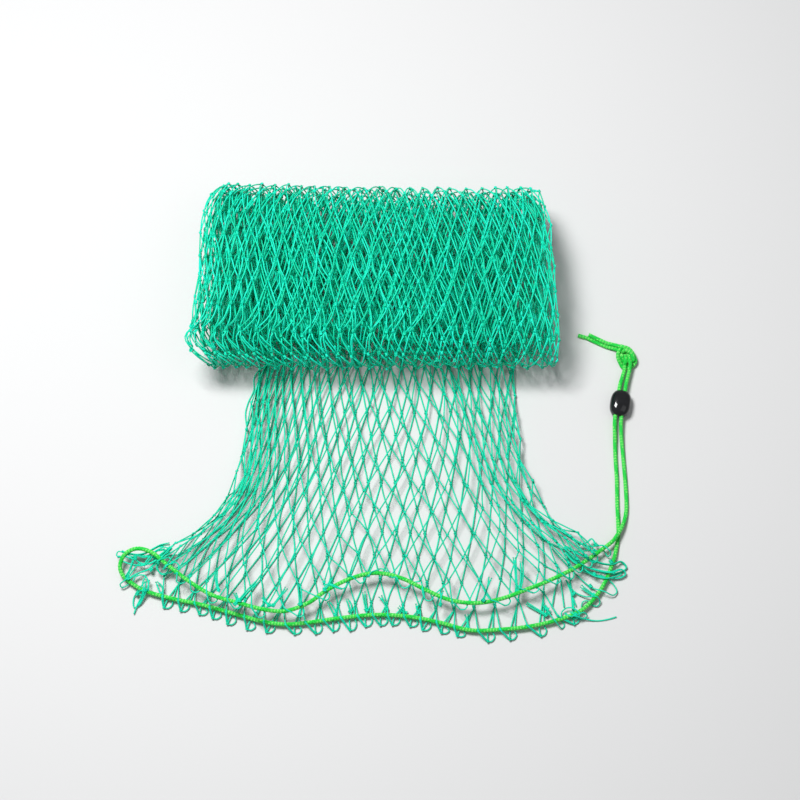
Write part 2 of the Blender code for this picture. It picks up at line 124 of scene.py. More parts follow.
def curve_through(points, step):
    """Points at an even step on a smooth curve through a few points, in their own units."""
    points = np.asarray(points, float)
    keys = distance_along(points[:, :3])
    return smooth(keys, points, np.linspace(0, keys[-1], max(2, round(keys[-1] / step)) + 1))


def on_floor(spots, lowest):
    """The same places, with every z raised to at least the lowest."""
    raised = np.array(spots, float)
    raised[..., 2] = np.maximum(raised[..., 2], lowest)
    return raised


# %% Round sections swept along many paths at once
def sweep(paths, radius, sides, relief=None, tone=None, starts=None):
    """Closed tubes along paths, an array of (tubes, points, 3).

    Point = path + radius (cos a side + sin a up), where side is carried along the path
    by taking away its part along the path at each step, and up = along x side.
    radius is one number or an array (tubes, points); relief multiplies it round the ring.
    The UV map holds the share of the way round and the metres along. Each tube's own tone
    and its metres at the start are random where they aren't given.
    """
    tubes, count, _ = paths.shape
    along = unit(np.gradient(paths, axis=1))
    helper = np.where(np.abs(along[:, :1, 2:]) < 0.8, [[[0.0, 0.0, 1.0]]], [[[1.0, 0.0, 0.0]]])
    side = np.empty_like(paths)
    side[:, 0] = unit(np.cross(along[:, 0], helper[:, 0]))
    for k in range(1, count):
        carried = side[:, k - 1]
        lost = (carried * along[:, k]).sum(-1, keepdims=True) * along[:, k]
        side[:, k] = unit(carried - lost)
    up = np.cross(along, side)
    angle = 2 * np.pi * np.arange(sides) / sides
    ring = side[:, :, None] * np.cos(angle)[:, None] + up[:, :, None] * np.sin(angle)[:, None]
    reach = np.broadcast_to(np.asarray(radius, float), (tubes, count))[:, :, None, None]
    if relief is not None:
        reach = reach * relief[..., None]
    points = (paths[:, :, None] + ring * reach).reshape(-1, 3)

    t, i, k = np.meshgrid(np.arange(tubes), np.arange(count - 1), np.arange(sides), indexing="ij")
    after = (k + 1) % sides
    first = (t * count + i) * sides
    quads = np.stack([first + k, first + after, first + sides + after, first + sides + k], -1)
    steps = np.linalg.norm(np.diff(paths, axis=1), axis=2)
    metres = np.concatenate([np.zeros((tubes, 1)), np.cumsum(steps, axis=1)], axis=1)
    metres += rng.random((tubes, 1)) if starts is None else starts
    low, high = metres[t, i], metres[t, i + 1]
    left, right = k / sides, (k + 1) / sides
    corners = [(left, low), (right, low), (right, high), (left, high)]
    uv = np.stack([np.stack(corner, -1) for corner in corners], -2)

    ring_start = np.arange(tubes)[:, None] * count * sides
    bottom = ring_start + np.arange(sides)[::-1]
    top = ring_start + (count - 1) * sides + np.arange(sides)
    caps = np.concatenate([bottom, top])
    tones = rng.random(tubes) if tone is None else np.broadcast_to(tone, tubes)
    return {
        "points": points,
        "tone": np.repeat(tones, count * sides),
        "faces": [
            (quads.reshape(-1, 4), uv.reshape(-1, 4, 2)),
            (caps, np.zeros((len(caps), sides, 2))),
        ],
    }


# %% Arrays into a mesh
def build(name, forms, surface):
    """One piece from a list of forms, riding on the body and finished from a slot."""
    points = np.concatenate([form["points"] for form in forms])
    tones = np.concatenate([form["tone"] for form in forms])
    corners, sizes, uvs, offset = [], [], [], 0
    for form in forms:
        for faces, uv in form["faces"]:
            corners.append((faces + offset).ravel())
            sizes.append(np.full(len(faces), faces.shape[1]))
            uvs.append(uv.reshape(-1, 2))
        offset += len(form["points"])
    corners, sizes, uvs = np.concatenate(corners), np.concatenate(sizes), np.concatenate(uvs)
    mesh = bpy.data.meshes.new(name)
    mesh.vertices.add(len(points))
    mesh.vertices.foreach_set("co", points.astype(np.float32).ravel())
    mesh.loops.add(len(corners))
    mesh.loops.foreach_set("vertex_index", corners.astype(np.int32))
    mesh.polygons.add(len(sizes))
    starts = np.concatenate([[0], np.cumsum(sizes)[:-1]])
    mesh.polygons.foreach_set("loop_start", starts.astype(np.int32))
    mesh.update(calc_edges=True)
    mesh.uv_layers.new(name="along").uv.foreach_set("vector", uvs.astype(np.float32).ravel())
    tone_layer = mesh.attributes.new("tone", "FLOAT", "POINT")
    tone_layer.data.foreach_set("value", tones.astype(np.float32))
    mesh.shade_smooth()
    mesh.materials.append(surface)
    made = placed(name, mesh)
    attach(made, "root")
    print(f"{name}: {int((sizes - 2).sum())} triangles")
    return made


# %% [markdown]
# ## Finishes
#
# Twine and cord are made of smaller yarns, and their surface shows it. The twine of a net is
# three yarns twisted together, so the bumps run round it in a steep screw. The drawstring is
# a round plait of sixteen yarns, eight each way, that pass over and under each other. Where
# five neighbouring yarns of one way lie on top they get a painted highlight, paler than the
# rest, which gives the cord its short pale flecks. Both patterns are worked out from the
# piece's own UV map, in node groups that put out a height and masks, and the grooves between
# the yarns get painted shade. A third group gives what dye, sun and handling do: slow patches
# of lighter and darker colour, and a fine unevenness of the fibres.

# %% Node helpers
def node(tree, kind, settings=(), **inputs):
    """Adds a node, sets its options and fills or links its inputs by name or number."""
    made = tree.nodes.new(kind)
    for key, value in settings:
        setattr(made, key, value)
    for key, value in inputs.items():
        socket = made.inputs[int(key[1:]) if key[0] == "i" and key[1:].isdigit() else key]
        if isinstance(value, bpy.types.NodeSocket):
            tree.links.new(value, socket)
        else:
            socket.default_value = value
    return made


def calc(tree, operation, *values):
    """A Math node's result. A value may be a sum of its own: (operation, values...)."""
    values = [calc(tree, *value) if isinstance(value, tuple) else value for value in values]
    inputs = {f"i{k}": value for k, value in enumerate(values)}
    return node(tree, "ShaderNodeMath", (("operation", operation),), **inputs).outputs[0]


def blend(tree, share, first, second):
    """A colour between two colours, each a socket or three numbers."""
    mix = node(tree, "ShaderNodeMix", (("data_type", "RGBA"),))
    tree.links.new(share, mix.inputs["Factor"])
    for label, value in (("A", first), ("B", second)):
        if isinstance(value, bpy.types.NodeSocket):
            tree.links.new(value, mix.inputs[label])
        else:
            mix.inputs[label].default_value = (*value, 1.0)
    return mix.outputs["Result"]


def new_finish(name):
    """A new material: itself, its node tree and its shader."""
    made = bpy.data.materials.new(name)
    made.use_nodes = True
    return made, made.node_tree, made.node_tree.nodes["Principled BSDF"]


def new_group(name, inputs, outputs):
    """An empty shader node group with named sockets, and its two end nodes."""
    group = bpy.data.node_groups.new(name, "ShaderNodeTree")
    for label, kind in inputs:
        group.interface.new_socket(label, in_out="INPUT", socket_type=f"NodeSocket{kind}")
    for label, kind in outputs:
        group.interface.new_socket(label, in_out="OUTPUT", socket_type=f"NodeSocket{kind}")
    return group, group.nodes.new("NodeGroupInput"), group.nodes.new("NodeGroupOutput")


YARN_INPUTS = (("UV", "Vector"), ("Yarns", "Float"), ("Lay", "Float"))
YARN_OUTPUTS = (("Height", "Float"), ("Painted Groove Shade", "Float"), ("Painted Highlight", "Float"))

# %% Twisted yarns: height = |sin(pi yarns (round + along / lay))|
twist, ends_in, ends_out = new_group("twisted yarns", YARN_INPUTS, YARN_OUTPUTS)
parts = node(twist, "ShaderNodeSeparateXYZ", Vector=ends_in.outputs["UV"])
turns = calc(twist, "DIVIDE", parts.outputs["Y"], ends_in.outputs["Lay"])
screw = calc(twist, "MULTIPLY", ("ADD", parts.outputs["X"], turns), ends_in.outputs["Yarns"])
height = calc(twist, "ABSOLUTE", ("SINE", ("MULTIPLY", screw, math.pi)))
# Painted shade: the groove colour comes in where the height falls away between the yarns.
painted_groove_shade = calc(twist, "POWER", ("SUBTRACT", 1.0, height), 2.5)
twist.links.new(height, ends_out.inputs["Height"])
twist.links.new(painted_groove_shade, ends_out.inputs["Painted Groove Shade"])
# The twine gets no painted highlight.
ends_out.inputs["Painted Highlight"].default_value = 0.0
print(f"{twist.name}: {len(twist.nodes)} nodes")

# %% Plaited yarns: two screws of yarns, the one on top changing from cell to cell
PAINTED_HIGHLIGHT_YARNS = 5
plait, ends_in, ends_out = new_group("plaited yarns", YARN_INPUTS, YARN_OUTPUTS)
parts = node(plait, "ShaderNodeSeparateXYZ", Vector=ends_in.outputs["UV"])
yarns = ends_in.outputs["Yarns"]
turns = calc(plait, "DIVIDE", parts.outputs["Y"], ends_in.outputs["Lay"])
right_hand = calc(plait, "MULTIPLY", ("ADD", parts.outputs["X"], turns), yarns)
left_hand = calc(plait, "MULTIPLY", ("SUBTRACT", parts.outputs["X"], turns), yarns)
cell = calc(plait, "ADD", ("FLOOR", right_hand), ("FLOOR", left_hand))
odd_cell = calc(plait, "GREATER_THAN", ("FRACT", ("ABSOLUTE", ("MULTIPLY", cell, 0.5))), 0.25)
ridges = [
    calc(plait, "ABSOLUTE", ("SINE", ("MULTIPLY", way, math.pi)))
    for way in (right_hand, left_hand)
]
height = calc(plait, "ADD", ("MULTIPLY", ridges[0], odd_cell),
              ("MULTIPLY", ridges[1], ("SUBTRACT", 1.0, odd_cell)))
# Painted shade: the groove colour comes in between the ridges of the yarns.
painted_groove_shade = calc(plait, "POWER", ("SUBTRACT", 1.0, height), 1.3)
# Painted highlight: where five neighbouring yarns of the right-hand way lie on top, they are
# painted paler.
which = calc(plait, "FLOORED_MODULO", ("FLOOR", right_hand), yarns)
painted_highlight = calc(plait, "MULTIPLY", ("LESS_THAN", which, PAINTED_HIGHLIGHT_YARNS - 0.5), odd_cell)
plait.links.new(height, ends_out.inputs["Height"])
plait.links.new(painted_groove_shade, ends_out.inputs["Painted Groove Shade"])
plait.links.new(painted_highlight, ends_out.inputs["Painted Highlight"])
print(f"{plait.name}: {len(plait.nodes)} nodes")

# %% Speckle: slow unevenness of dye and dirt, from two noises
speckle, ends_in, ends_out = new_group(
    "uneven dye", (("Place", "Vector"), ("Scale", "Float")),
    (("Patches", "Float"), ("Fibre", "Float")),
)
FIBRES_IN_A_PATCH = 30.0
patches = node(speckle, "ShaderNodeTexNoise", Vector=ends_in.outputs["Place"],
               Scale=ends_in.outputs["Scale"], Detail=3.0, Roughness=0.6)
fine_scale = calc(speckle, "MULTIPLY", ends_in.outputs["Scale"], FIBRES_IN_A_PATCH)
fibre = node(speckle, "ShaderNodeTexNoise", Vector=ends_in.outputs["Place"], Scale=fine_scale,
             Detail=2.0, Roughness=0.7)
speckle.links.new(patches.outputs["Fac"], ends_out.inputs["Patches"])
speckle.links.new(fibre.outputs["Fac"], ends_out.inputs["Fibre"])
print(f"{speckle.name}: {len(speckle.nodes)} nodes")


# %% A yarn finish: colours from the piece's tone and the speckle, with painted shade in the grooves and painted highlights on the plait's top yarns
TONE_SHARE, DYE_SHARE = 0.55, 0.45       # of the strand's own shade and of the dye's patches
SHADE_STOPS = (0.25, 0.50, 0.80)         # shades that give the dull, usual and bright colour


def yarn_finish(name, pattern, yarns, lay, relief, colours, roughness, shine, sheen=0.0):
    """A yarn-made surface: shade = tone share x the strand's tone + dye share x patches.
    Colours are (painted groove shade, dull, usual, bright, painted highlight), and relief
    is the bumps' height."""
    painted_groove_shade, dull, usual, bright, painted_highlight = colours
    made, tree, shader = new_finish(name)
    uv = node(tree, "ShaderNodeUVMap", (("uv_map", "along"),)).outputs["UV"]
    yarn = node(tree, "ShaderNodeGroup", (("node_tree", pattern),), UV=uv, Yarns=yarns, Lay=lay)
    place = node(tree, "ShaderNodeTexCoord").outputs["Object"]
    dye = node(tree, "ShaderNodeGroup", (("node_tree", speckle),), Place=place, Scale=60.0)
    tone = node(tree, "ShaderNodeAttribute", (("attribute_name", "tone"),)).outputs["Fac"]
    shade = calc(tree, "ADD", ("MULTIPLY", tone, TONE_SHARE),
                 ("MULTIPLY", dye.outputs["Patches"], DYE_SHARE))
    ramp = node(tree, "ShaderNodeValToRGB", Fac=shade)
    stops = ramp.color_ramp.elements
    stops[0].position, stops[0].color = SHADE_STOPS[0], (*dull, 1.0)
    stops[1].position, stops[1].color = SHADE_STOPS[2], (*bright, 1.0)
    stops.new(SHADE_STOPS[1]).color = (*usual, 1.0)
    # Painted highlight on the plait's top yarns.
    colour = blend(tree, yarn.outputs["Painted Highlight"], ramp.outputs["Color"], painted_highlight)
    # Painted shade darkens the grooves between the yarns.
    colour = blend(tree, yarn.outputs["Painted Groove Shade"], colour, painted_groove_shade)
    tree.links.new(colour, shader.inputs["Base Color"])
    rough = calc(tree, "MULTIPLY", ("SUBTRACT", dye.outputs["Fibre"], 0.5), 0.3)
    tree.links.new(calc(tree, "ADD", rough, roughness), shader.inputs["Roughness"])
    shader.inputs["Sheen Weight"].default_value = sheen
    shader.inputs["Sheen Roughness"].default_value = 0.4
    shader.inputs["Specular IOR Level"].default_value = shine
    surface = calc(tree, "ADD", yarn.outputs["Height"], ("MULTIPLY", dye.outputs["Fibre"], 0.25))
    bump = node(tree, "ShaderNodeBump", Height=surface, Strength=0.8, Distance=relief)
    tree.links.new(bump.outputs["Normal"], shader.inputs["Normal"])
    return made


# %% The two finishes of yarn: blue-green twine and lime cord
TWINE_YARNS, TWINE_LAY = 3, 4.0 * MM
PLAIT_YARNS, PLAIT_LAY = 8, 18.0 * MM    # yarns of each way, and the length of one turn
# Each: painted groove shade, dull, usual and bright green, painted highlight. The twine's painted
# highlight is never shown.
NET_GREENS_AND_PAINTED_LIGHT = ((0.0005, 0.32, 0.18), (0.001, 0.66, 0.39), (0.002, 0.80, 0.51), (0.01, 0.92, 0.68),
              (0.01, 0.92, 0.68))
CORD_GREENS_AND_PAINTED_LIGHT = ((0.001, 0.26, 0.01), (0.004, 0.64, 0.05), (0.008, 0.75, 0.07),
               (0.020, 0.86, 0.10), (0.22, 0.96, 0.19))
net_twine = yarn_finish("net_twine", twist, TWINE_YARNS, TWINE_LAY, 0.18 * MM, NET_GREENS_AND_PAINTED_LIGHT,
                        roughness=0.40, shine=0.25)
drawstring_braid = yarn_finish("drawstring_braid", plait, PLAIT_YARNS, PLAIT_LAY, 0.30 * MM,
                               CORD_GREENS_AND_PAINTED_LIGHT, roughness=0.5, shine=0.3, sheen=0.1)
print("finishes:", net_twine.name, "and", drawstring_braid.name)

# %% [markdown]
# ## The drawstring
#
# A 3 mm plaited cord, about 1.3 m long. It leaves the right corner of the mouth in two
# strands that lie side by side, run through the bead and end in one knot. Its route is a
# list of points in millimetres, the same that the solid cord follows, and a smooth curve
# through all of them keeps the joints between the three stretches straight.

# %% Route of the cord
CORD_RADIUS = 1.5 * MM
CORD_LOWEST = 1.6 * MM            # its middle on the floor, where the plait just touches
UPPER_EDGE = (
    (179, -108.5, 7.5), (165.7, -118.5, 9.5), (153.2, -126.8, 12), (135.6, -135.7, 13.5),
    (120.5, -141.9, 14), (101, -149.2, 14), (82.4, -152.6, 14), (62.3, -150.3, 14),
    (44.5, -142.7, 14), (25.9, -133.5, 14), (7.2, -129.7, 14), (-10.7, -133.5, 14),
    (-29.2, -142.7, 14), (-43.2, -152.6, 14), (-60.2, -158.7, 14), (-77.3, -157.2, 14),
    (-96, -152.2, 14), (-114.8, -146.5, 14), (-131.5, -136.6, 14),
    (-150.8, -121.8, 13.5), (-161.8, -113.2, 13), (-172.6, -110.2, 12),
    (-181.6, -114, 10.5), (-185.3, -121.9, 8),
)
LOWER_EDGE = (
    (-183.7, -128.5, 6.5), (-177.6, -134.2, 5.2), (-166.9, -140.6, 4.7), (-147.9, -146.3, 4.5),
    (-123, -151.7, 4.5), (-95.8, -159.3, 4.5), (-77.8, -164.3, 4.5), (-60.6, -166.6, 4.5),
    (-42, -165, 4.5), (-18.2, -161.6, 4.5), (6.5, -159.3, 4.5), (32.6, -160.8, 4.5),
    (55.7, -165.4, 4.5), (77.3, -171, 4.5), (99.6, -170.5, 4.5), (122, -168.1, 4.5),
    (145.3, -162.4, 4.5), (161.2, -155.5, 4.5), (172.8, -144, 4.5), (180, -132.4, 4.5),
    (184.5, -121.6, 4.5),
)
UPPER_STRAND = (
    (185.9, -102.9, 7), (190.7, -96.2, 5.9), (194.1, -90, 4.4), (196.8, -82, 2.6),
    (198, -73, 1.8), (197.8, -52.9, 1.7), (196.9, -32.8, 2), (196, -17.8, 4),
    (196.2, -5.6, 5.8), (198.6, 8.4, 5.8), (201, 22.5, 5.8), (202.9, 30.2, 5.5),
    (204.4, 35.6, 5.5), (205.3, 40.4, 6.2),
)
LOWER_STRAND = (
    (187.3, -113.9, 3), (189.5, -104.6, 1.7), (190.9, -96.7, 1.6), (191.1, -88, 1.6),
    (191, -72.9, 1.6), (191.4, -52.9, 1.7), (191, -32.8, 2), (191, -17.8, 4),
    (191.3, -5.6, 5.8), (193.8, 8.4, 5.8), (196.3, 22.5, 5.8), (198.7, 30.2, 5.3),
    (200.4, 35.6, 4.4), (201.2, 40.4, 3.3),
)
route = np.array((*UPPER_STRAND[::-1], *UPPER_EDGE, *LOWER_EDGE, *LOWER_STRAND)) * MM
route_keys = distance_along(route)
leaves, returns = len(UPPER_STRAND), len(route) - len(LOWER_STRAND) - 1
print(f"drawstring from knot to knot: {route_keys[-1]:.3f} m")


# %% The plaited cord
def cord_line(first, last, step):
    """Places and points at an even step along the route, and never through the floor."""
    start, end = route_keys[first], route_keys[last]
    at = np.linspace(start, end, max(2, round((end - start) / step)) + 1)
    return at, on_floor(smooth(route_keys, route, at), CORD_LOWEST)


def plait_relief(metres, sides, depth=0.18):
    """Radius factor of a plait: 1 + depth (height - 0.7), with the finish's height."""
    around = np.arange(sides) / sides
    turns = np.asarray(metres)[..., None] / PLAIT_LAY
    right, left = (around + turns) * PLAIT_YARNS, (around - turns) * PLAIT_YARNS
    top = (np.floor(right) + np.floor(left)) % 2
    height = np.where(top > 0.5, np.abs(np.sin(np.pi * right)), np.abs(np.sin(np.pi * left)))
    return 1 + depth * (height - 0.7)


def plaited(line, sides=24, starts=0.0):
    """The form of a plaited cord along a line of points, its yarns standing out of it."""
    metres = distance_along(line) + starts
    relief = plait_relief(metres[None], sides)
    return sweep(line[None], CORD_RADIUS, sides, relief=relief, tone=0.5, starts=starts)


# %% The threaded cord and the two free strands
cord_pieces = {}
for name, first, last in (
    ("drawstring_strand_upper", 0, leaves),
    ("drawstring_mouth", leaves, returns),
    ("drawstring_strand_lower", returns, len(route) - 1),
):
    at, line = cord_line(first, last, 0.8 * MM)
    piece = build(f"{name}_plait", [plaited(line, starts=at[0])], drawstring_braid)
    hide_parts(name)
    cord_pieces[name] = (piece, line)
_, cord_spots = cord_line(leaves, returns, 1.0 * MM)

# %% [markdown]
# ## The knot at the end of the drawstring
#
# Both strands are laid together and tied in one overhand knot: up on top of the loop, under
# at the far side, over at the left, under the strands again, and so on by turns, until both
# leave to the upper left in two cut tails. The listed path only gives this order. The
# cords are then pushed apart wherever they pass through each other, and eased a little, many
# times over, as a real knot settles when it is pulled.

# %% Path of the knot: x, y, z of the pair's middle (mm), and the pair's roll in degrees
KNOT_PATH = (
    (203.3, 40.4, 4.75, 35), (203.3, 43.5, 6.2, 20), (203.5, 47, 5.6, 0),
    (203, 51.6, 3.4, 0), (200.7, 55.2, 2.4, 0), (197.6, 51.6, 5.4, 15), (197.4, 45.4, 5, 15),
    (200, 40.3, 2.6, 0), (204.2, 38.2, 1.6, 0), (208.4, 39.8, 2.4, 0), (209.7, 45, 4.6, -15),
    (207.2, 50.6, 6.2, 0), (203.2, 54.6, 6.6, 0), (198.5, 56, 3.2, 10), (193.8, 55.9, 2.6, 30),
    (187.2, 58.3, 2.5, 45), (182.6, 60.5, 2.6, 45), (173.3, 65.3, 2.6, 45),
)
LEFT_TAIL_END = np.array([165.6, 66.6, 1.6]) * MM
FIRST_APART, PAIR_APART = 2.5, 1.55      # mm from the pair's middle: at the bead, in the knot
CLOSES_OVER = 6.0                        # mm in which the pair closes up
KNOT_STEP = 0.9                          # mm between points along a cord of the knot
knot_length = distance_along(np.array(KNOT_PATH)[:, :3])[-1]
print(f"{knot_length:.0f} mm of both cords in the knot and its tails")


def pair_of_cords(path, step=KNOT_STEP):
    """The two cords of a pair: each PAIR_APART beside its middle, turned by its roll."""
    fine = curve_through(path, step)
    middle, roll = fine[:, :3], np.radians(fine[:, 3])
    along = unit(np.gradient(middle, axis=0))
    flat = unit(np.cross(along, [0.0, 0.0, 1.0]))
    rise = np.cross(flat, along)
    across = flat * np.cos(roll)[:, None] + rise * np.sin(roll)[:, None]
    apart = np.interp(np.arange(len(fine)) * step, [0, CLOSES_OVER], [FIRST_APART, PAIR_APART])
    apart = apart[:, None]
    return (middle + across * apart) * MM, (middle - across * apart) * MM


# %% The knot settles: cords push each other apart, and keep their length
PUSH, POST_PUSH, DRAW, EASE = 0.22, 0.3, 0.3, 0.25      # shares of each fault mended a round
FREE_NEIGHBOURS = 6               # points this near along one cord don't push each other
HELD_POINTS, BEAD_POINTS = 3, 7   # points that stay, and points that the posts don't push
LAID_TOGETHER = 2.05              # radii between the pair's middles


def pushed_off(spots, others, counted, radius):
    """Moves that take spots off others nearer than two radii: the sum of what they lack."""
    gap = spots[:, None] - others[None]
    far = np.linalg.norm(gap, axis=2) + 1e-9
    press = np.where(counted & (far < 2 * radius), (2 * radius - far) / far, 0.0)
    return (gap * press[..., None]).sum(1)


def settled(cords, posts, rounds=320, radius=CORD_RADIUS, tails=20):
    """Two cords pushed apart where they are nearer than their thickness, and off the posts
    (points of other cords), drawn together as a pair, eased towards the middle of their
    neighbours, and kept at their own length and on the floor. The first points and the
    tails stay where they are."""
    spots = np.concatenate(cords)
    owner = np.repeat(np.arange(len(cords)), [len(cord) for cord in cords])
    order = np.concatenate([np.arange(len(cord)) for cord in cords])
    rest = KNOT_STEP * MM
    far_along = np.abs(order[:, None] - order[None]) > FREE_NEIGHBOURS
    apart = (owner[:, None] != owner[None]) | far_along
    past_bead = (order > BEAD_POINTS)[:, None]
    count = min(len(cord) for cord in cords)
    held = (order < HELD_POINTS) | (order > count - tails)
    first, second = np.arange(count), np.arange(count) + len(cords[0])
    for _ in range(rounds):
        push = pushed_off(spots, spots, apart, radius) * PUSH
        push += pushed_off(spots, posts, past_bead, radius) * POST_PUSH
        gap = spots[first] - spots[second]
        far = np.linalg.norm(gap, axis=1, keepdims=True)
        draw = gap * np.maximum(0.0, far - LAID_TOGETHER * radius) / far * DRAW
        push[first] -= draw
        push[second] += draw
        same = owner[1:] == owner[:-1]
        ease = np.zeros_like(spots)
        inner = np.flatnonzero(same[1:] & same[:-1]) + 1
        ease[inner] = ((spots[inner - 1] + spots[inner + 1]) / 2 - spots[inner]) * EASE
        spots = spots + np.where(held[:, None], 0.0, push + ease)
        for offset in (0, 1):
            pairs = np.flatnonzero(same)[offset::2]
            step = spots[pairs + 1] - spots[pairs]
            length = np.linalg.norm(step, axis=1, keepdims=True)
            fix = step * (length - rest) / length * 0.5
            spots[pairs] += np.where(held[pairs][:, None], 0.0, fix)
            spots[pairs + 1] -= np.where(held[pairs + 1][:, None], 0.0, fix)
        spots = on_floor(spots, radius + 0.05 * MM)
    return [spots[owner == k] for k in range(len(cords))]


# %% The tied knot and its two tails
right_cord, left_cord = pair_of_cords(KNOT_PATH)
if left_cord[-1][0] > right_cord[-1][0]:
    right_cord, left_cord = left_cord, right_cord
more = np.linspace(0, 1, 10)[1:, None]
left_cord = np.concatenate([left_cord, left_cord[-1] * (1 - more) + LEFT_TAIL_END * more])
knot_forms = []
strand_ends = [curve_through(strand[-3:], KNOT_STEP) for strand in (UPPER_STRAND, LOWER_STRAND)]
for cord in settled([right_cord, left_cord], np.concatenate(strand_ends) * MM):
    fine_line = on_floor(curve_through(cord, 0.7 * MM), CORD_LOWEST)
    knot_forms.append(plaited(fine_line, sides=20))
knot_piece = build("drawstring_knot_tied", knot_forms, drawstring_braid)
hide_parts("drawstring_knot")

# %% [markdown]
# ## The netting's surface
#
# The netting is far too fine to place by hand, so its knots follow two surfaces. Under the
# roll and out to the mouth, a short table says where some of the knots lie, and the rest are
# read between them. In the roll, a spiral band carries them. Row 0 is the last row before
# the drawstring and the rows count up towards the roll. Columns run 0 to 24 over the upper
# layer from left to right, and 24 to 48 back below it, so the whole tube is one grid.

# %% Where knots lie in the spread part (mm): row, then x, y at the columns named below
GUIDE_COLUMNS = (0, 1.5, 3, 6, 8, 10, 12, 14, 16, 18, 21, 22.5, 24)
UPPER_GUIDE = (
    (0, (-163, -119), (-156, -124), (-145, -129), (-107, -144), (-69, -147), (-33, -133),
     (2, -122), (42, -136), (85, -140), (132, -127), (160, -119), (168, -116), (174, -108)),
    (2, (-134, -99), (-125, -98), (-115, -99), (-94, -102), (-63, -107), (-33, -102),
     (-1, -98), (37, -102), (83, -100), (112, -93), (132, -91), (139, -91), (146, -90)),
    (4, (-107, -73), (-100, -71), (-94, -70), (-80, -70), (-60, -70), (-31, -69),
     (-3, -65), (37, -66), (76, -61), (92, -58), (110, -59), (119, -59), (127, -58)),
    (6, (-96, -36), (-91, -33), (-85, -30), (-70, -28), (-53, -27), (-30, -29),
     (-1, -29), (36, -27), (70, -20), (82, -18), (101, -18), (110, -19), (118, -19)),
    (8, (-91, 6), (-87, 8), (-81, 11), (-66, 12), (-49, 14), (-27, 9),
     (2, 7), (34, 9), (60, 18), (71, 20), (94, 20), (105, 20), (116, 22)),
    (10, (-83, 45), (-79, 47), (-75, 48), (-60, 52), (-42, 52), (-22, 47),
     (2, 44), (27, 45), (49, 52), (62, 56), (88, 57), (102, 59), (116, 61)),
)
LOWER_GUIDE = (
    (0, (-163, -119), (-151, -136), (-134, -142), (-95, -150), (-66, -154), (-36, -152),
     (-9, -149), (15, -150), (40, -153), (66, -157), (115, -157), (150, -149), (174, -108)),
    (2, (-134, -99), (-123, -103), (-109, -106), (-79, -111), (-54, -113), (-29, -113),
     (-6, -113), (17, -113), (39, -115), (63, -115), (103, -113), (125, -105), (146, -90)),
    (4, (-107, -73), (-98, -74), (-86, -74), (-63, -74), (-44, -74), (-24, -74),
     (-5, -75), (16, -75), (38, -76), (59, -77), (92, -74), (111, -69), (127, -58)),
    (6, (-96, -36), (-86, -35), (-74, -35), (-50, -35), (-36, -35), (-20, -35),
     (-3, -35), (16, -35), (37, -36), (58, -37), (88, -33), (105, -28), (118, -19)),
    (8, (-91, 6), (-82, 4), (-72, 4), (-50, 4), (-36, 3), (-18, 3),
     (-1, 2), (17, 2), (36, 1), (55, 1), (85, 6), (102, 12), (116, 22)),
    (10, (-83, 45), (-75, 44), (-65, 44), (-46, 43), (-31, 42), (-16, 41),
     (1, 41), (18, 41), (35, 41), (53, 41), (83, 44), (101, 50), (116, 61)),
)
# Heights of the two layers' middles (mm): row, lower layer, upper layer.
LAYER_HEIGHTS = ((0, 1.2, 14.0), (2, 0.9, 13.6), (4, 0.9, 12.4), (6, 0.9, 9.6), (8, 0.9, 6.6),
                 (10, 0.9, 4.2))
print(f"{2 * len(UPPER_GUIDE) * len(GUIDE_COLUMNS)} places guide the spread part")

# %% The spread part's rows of knots, read from the tables
MESHES = 48
HALF = MESHES // 2
SKIRT_ROWS = 10
BAR = 20.4 * MM
TWINE = 0.55 * MM                 # its radius
FOLD_SHARPNESS = 16
SKIRT_TONE = 0.45                 # the spread part's strands take duller, darker shades than the roll's


def parted(share):
    """How far the layers stand apart: 1 between the folds and 0 at both of them."""
    return np.sqrt(np.maximum(0.0, 1 - np.abs(2 * share - 1) ** FOLD_SHARPNESS))


def guide_row(guide, row, columns):
    """Places of a row's knots in one layer, read from its table in both directions."""
    rows = [line[0] for line in guide]
    spots = np.array([line[1:] for line in guide], float)
    across = smooth(rows, spots, [row])[0]
    return smooth(GUIDE_COLUMNS, across, columns) * MM


def skirt_rows():
    """Knots of the spread part: an array of (rows, meshes round, 3)."""
    knots = np.zeros((SKIRT_ROWS + 1, MESHES, 3))
    heights = np.array(LAYER_HEIGHTS)
    for row in range(SKIRT_ROWS + 1):
        column = np.arange(MESHES) + 0.5 * (row % 2)
        upper = column < HALF
        share = np.where(upper, column, MESHES - column) / HALF
        places = np.where(
            upper[:, None],
            guide_row(UPPER_GUIDE, row, share * HALF),
            guide_row(LOWER_GUIDE, row, share * HALF),
        )
        low, high = smooth(heights[:, 0], heights[:, 1:], [row])[0] * MM
        fold = (low + high) / 2
        knots[row, :, :2] = places
        knots[row, :, 2] = fold + (np.where(upper, high, low) - fold) * parted(share)
    return knots


# %% [markdown]
# Real bars can't stretch. Where the table leaves two knots further apart than one bar, they
# are drawn together a little at a time, over and over, until nothing is too long. This is
# how a cloth solver works too, and here it takes a fraction of a second.

# %% Draw the knots together until no bar is stretched
SHORTEST = 0.93                   # share of a bar's length that its ends may come to
MOUTH_GIVES = 0.08                # the cord holds the mouth's knots nearly still
MENDED = 0.9                      # share of a bar's fault that a round mends


def neighbours(row):
    """Places, in the next row, of the knots to the left and to the right of each knot."""
    here = np.arange(MESHES)
    return ((here - 1) % MESHES, here) if row % 2 == 0 else (here, (here + 1) % MESHES)


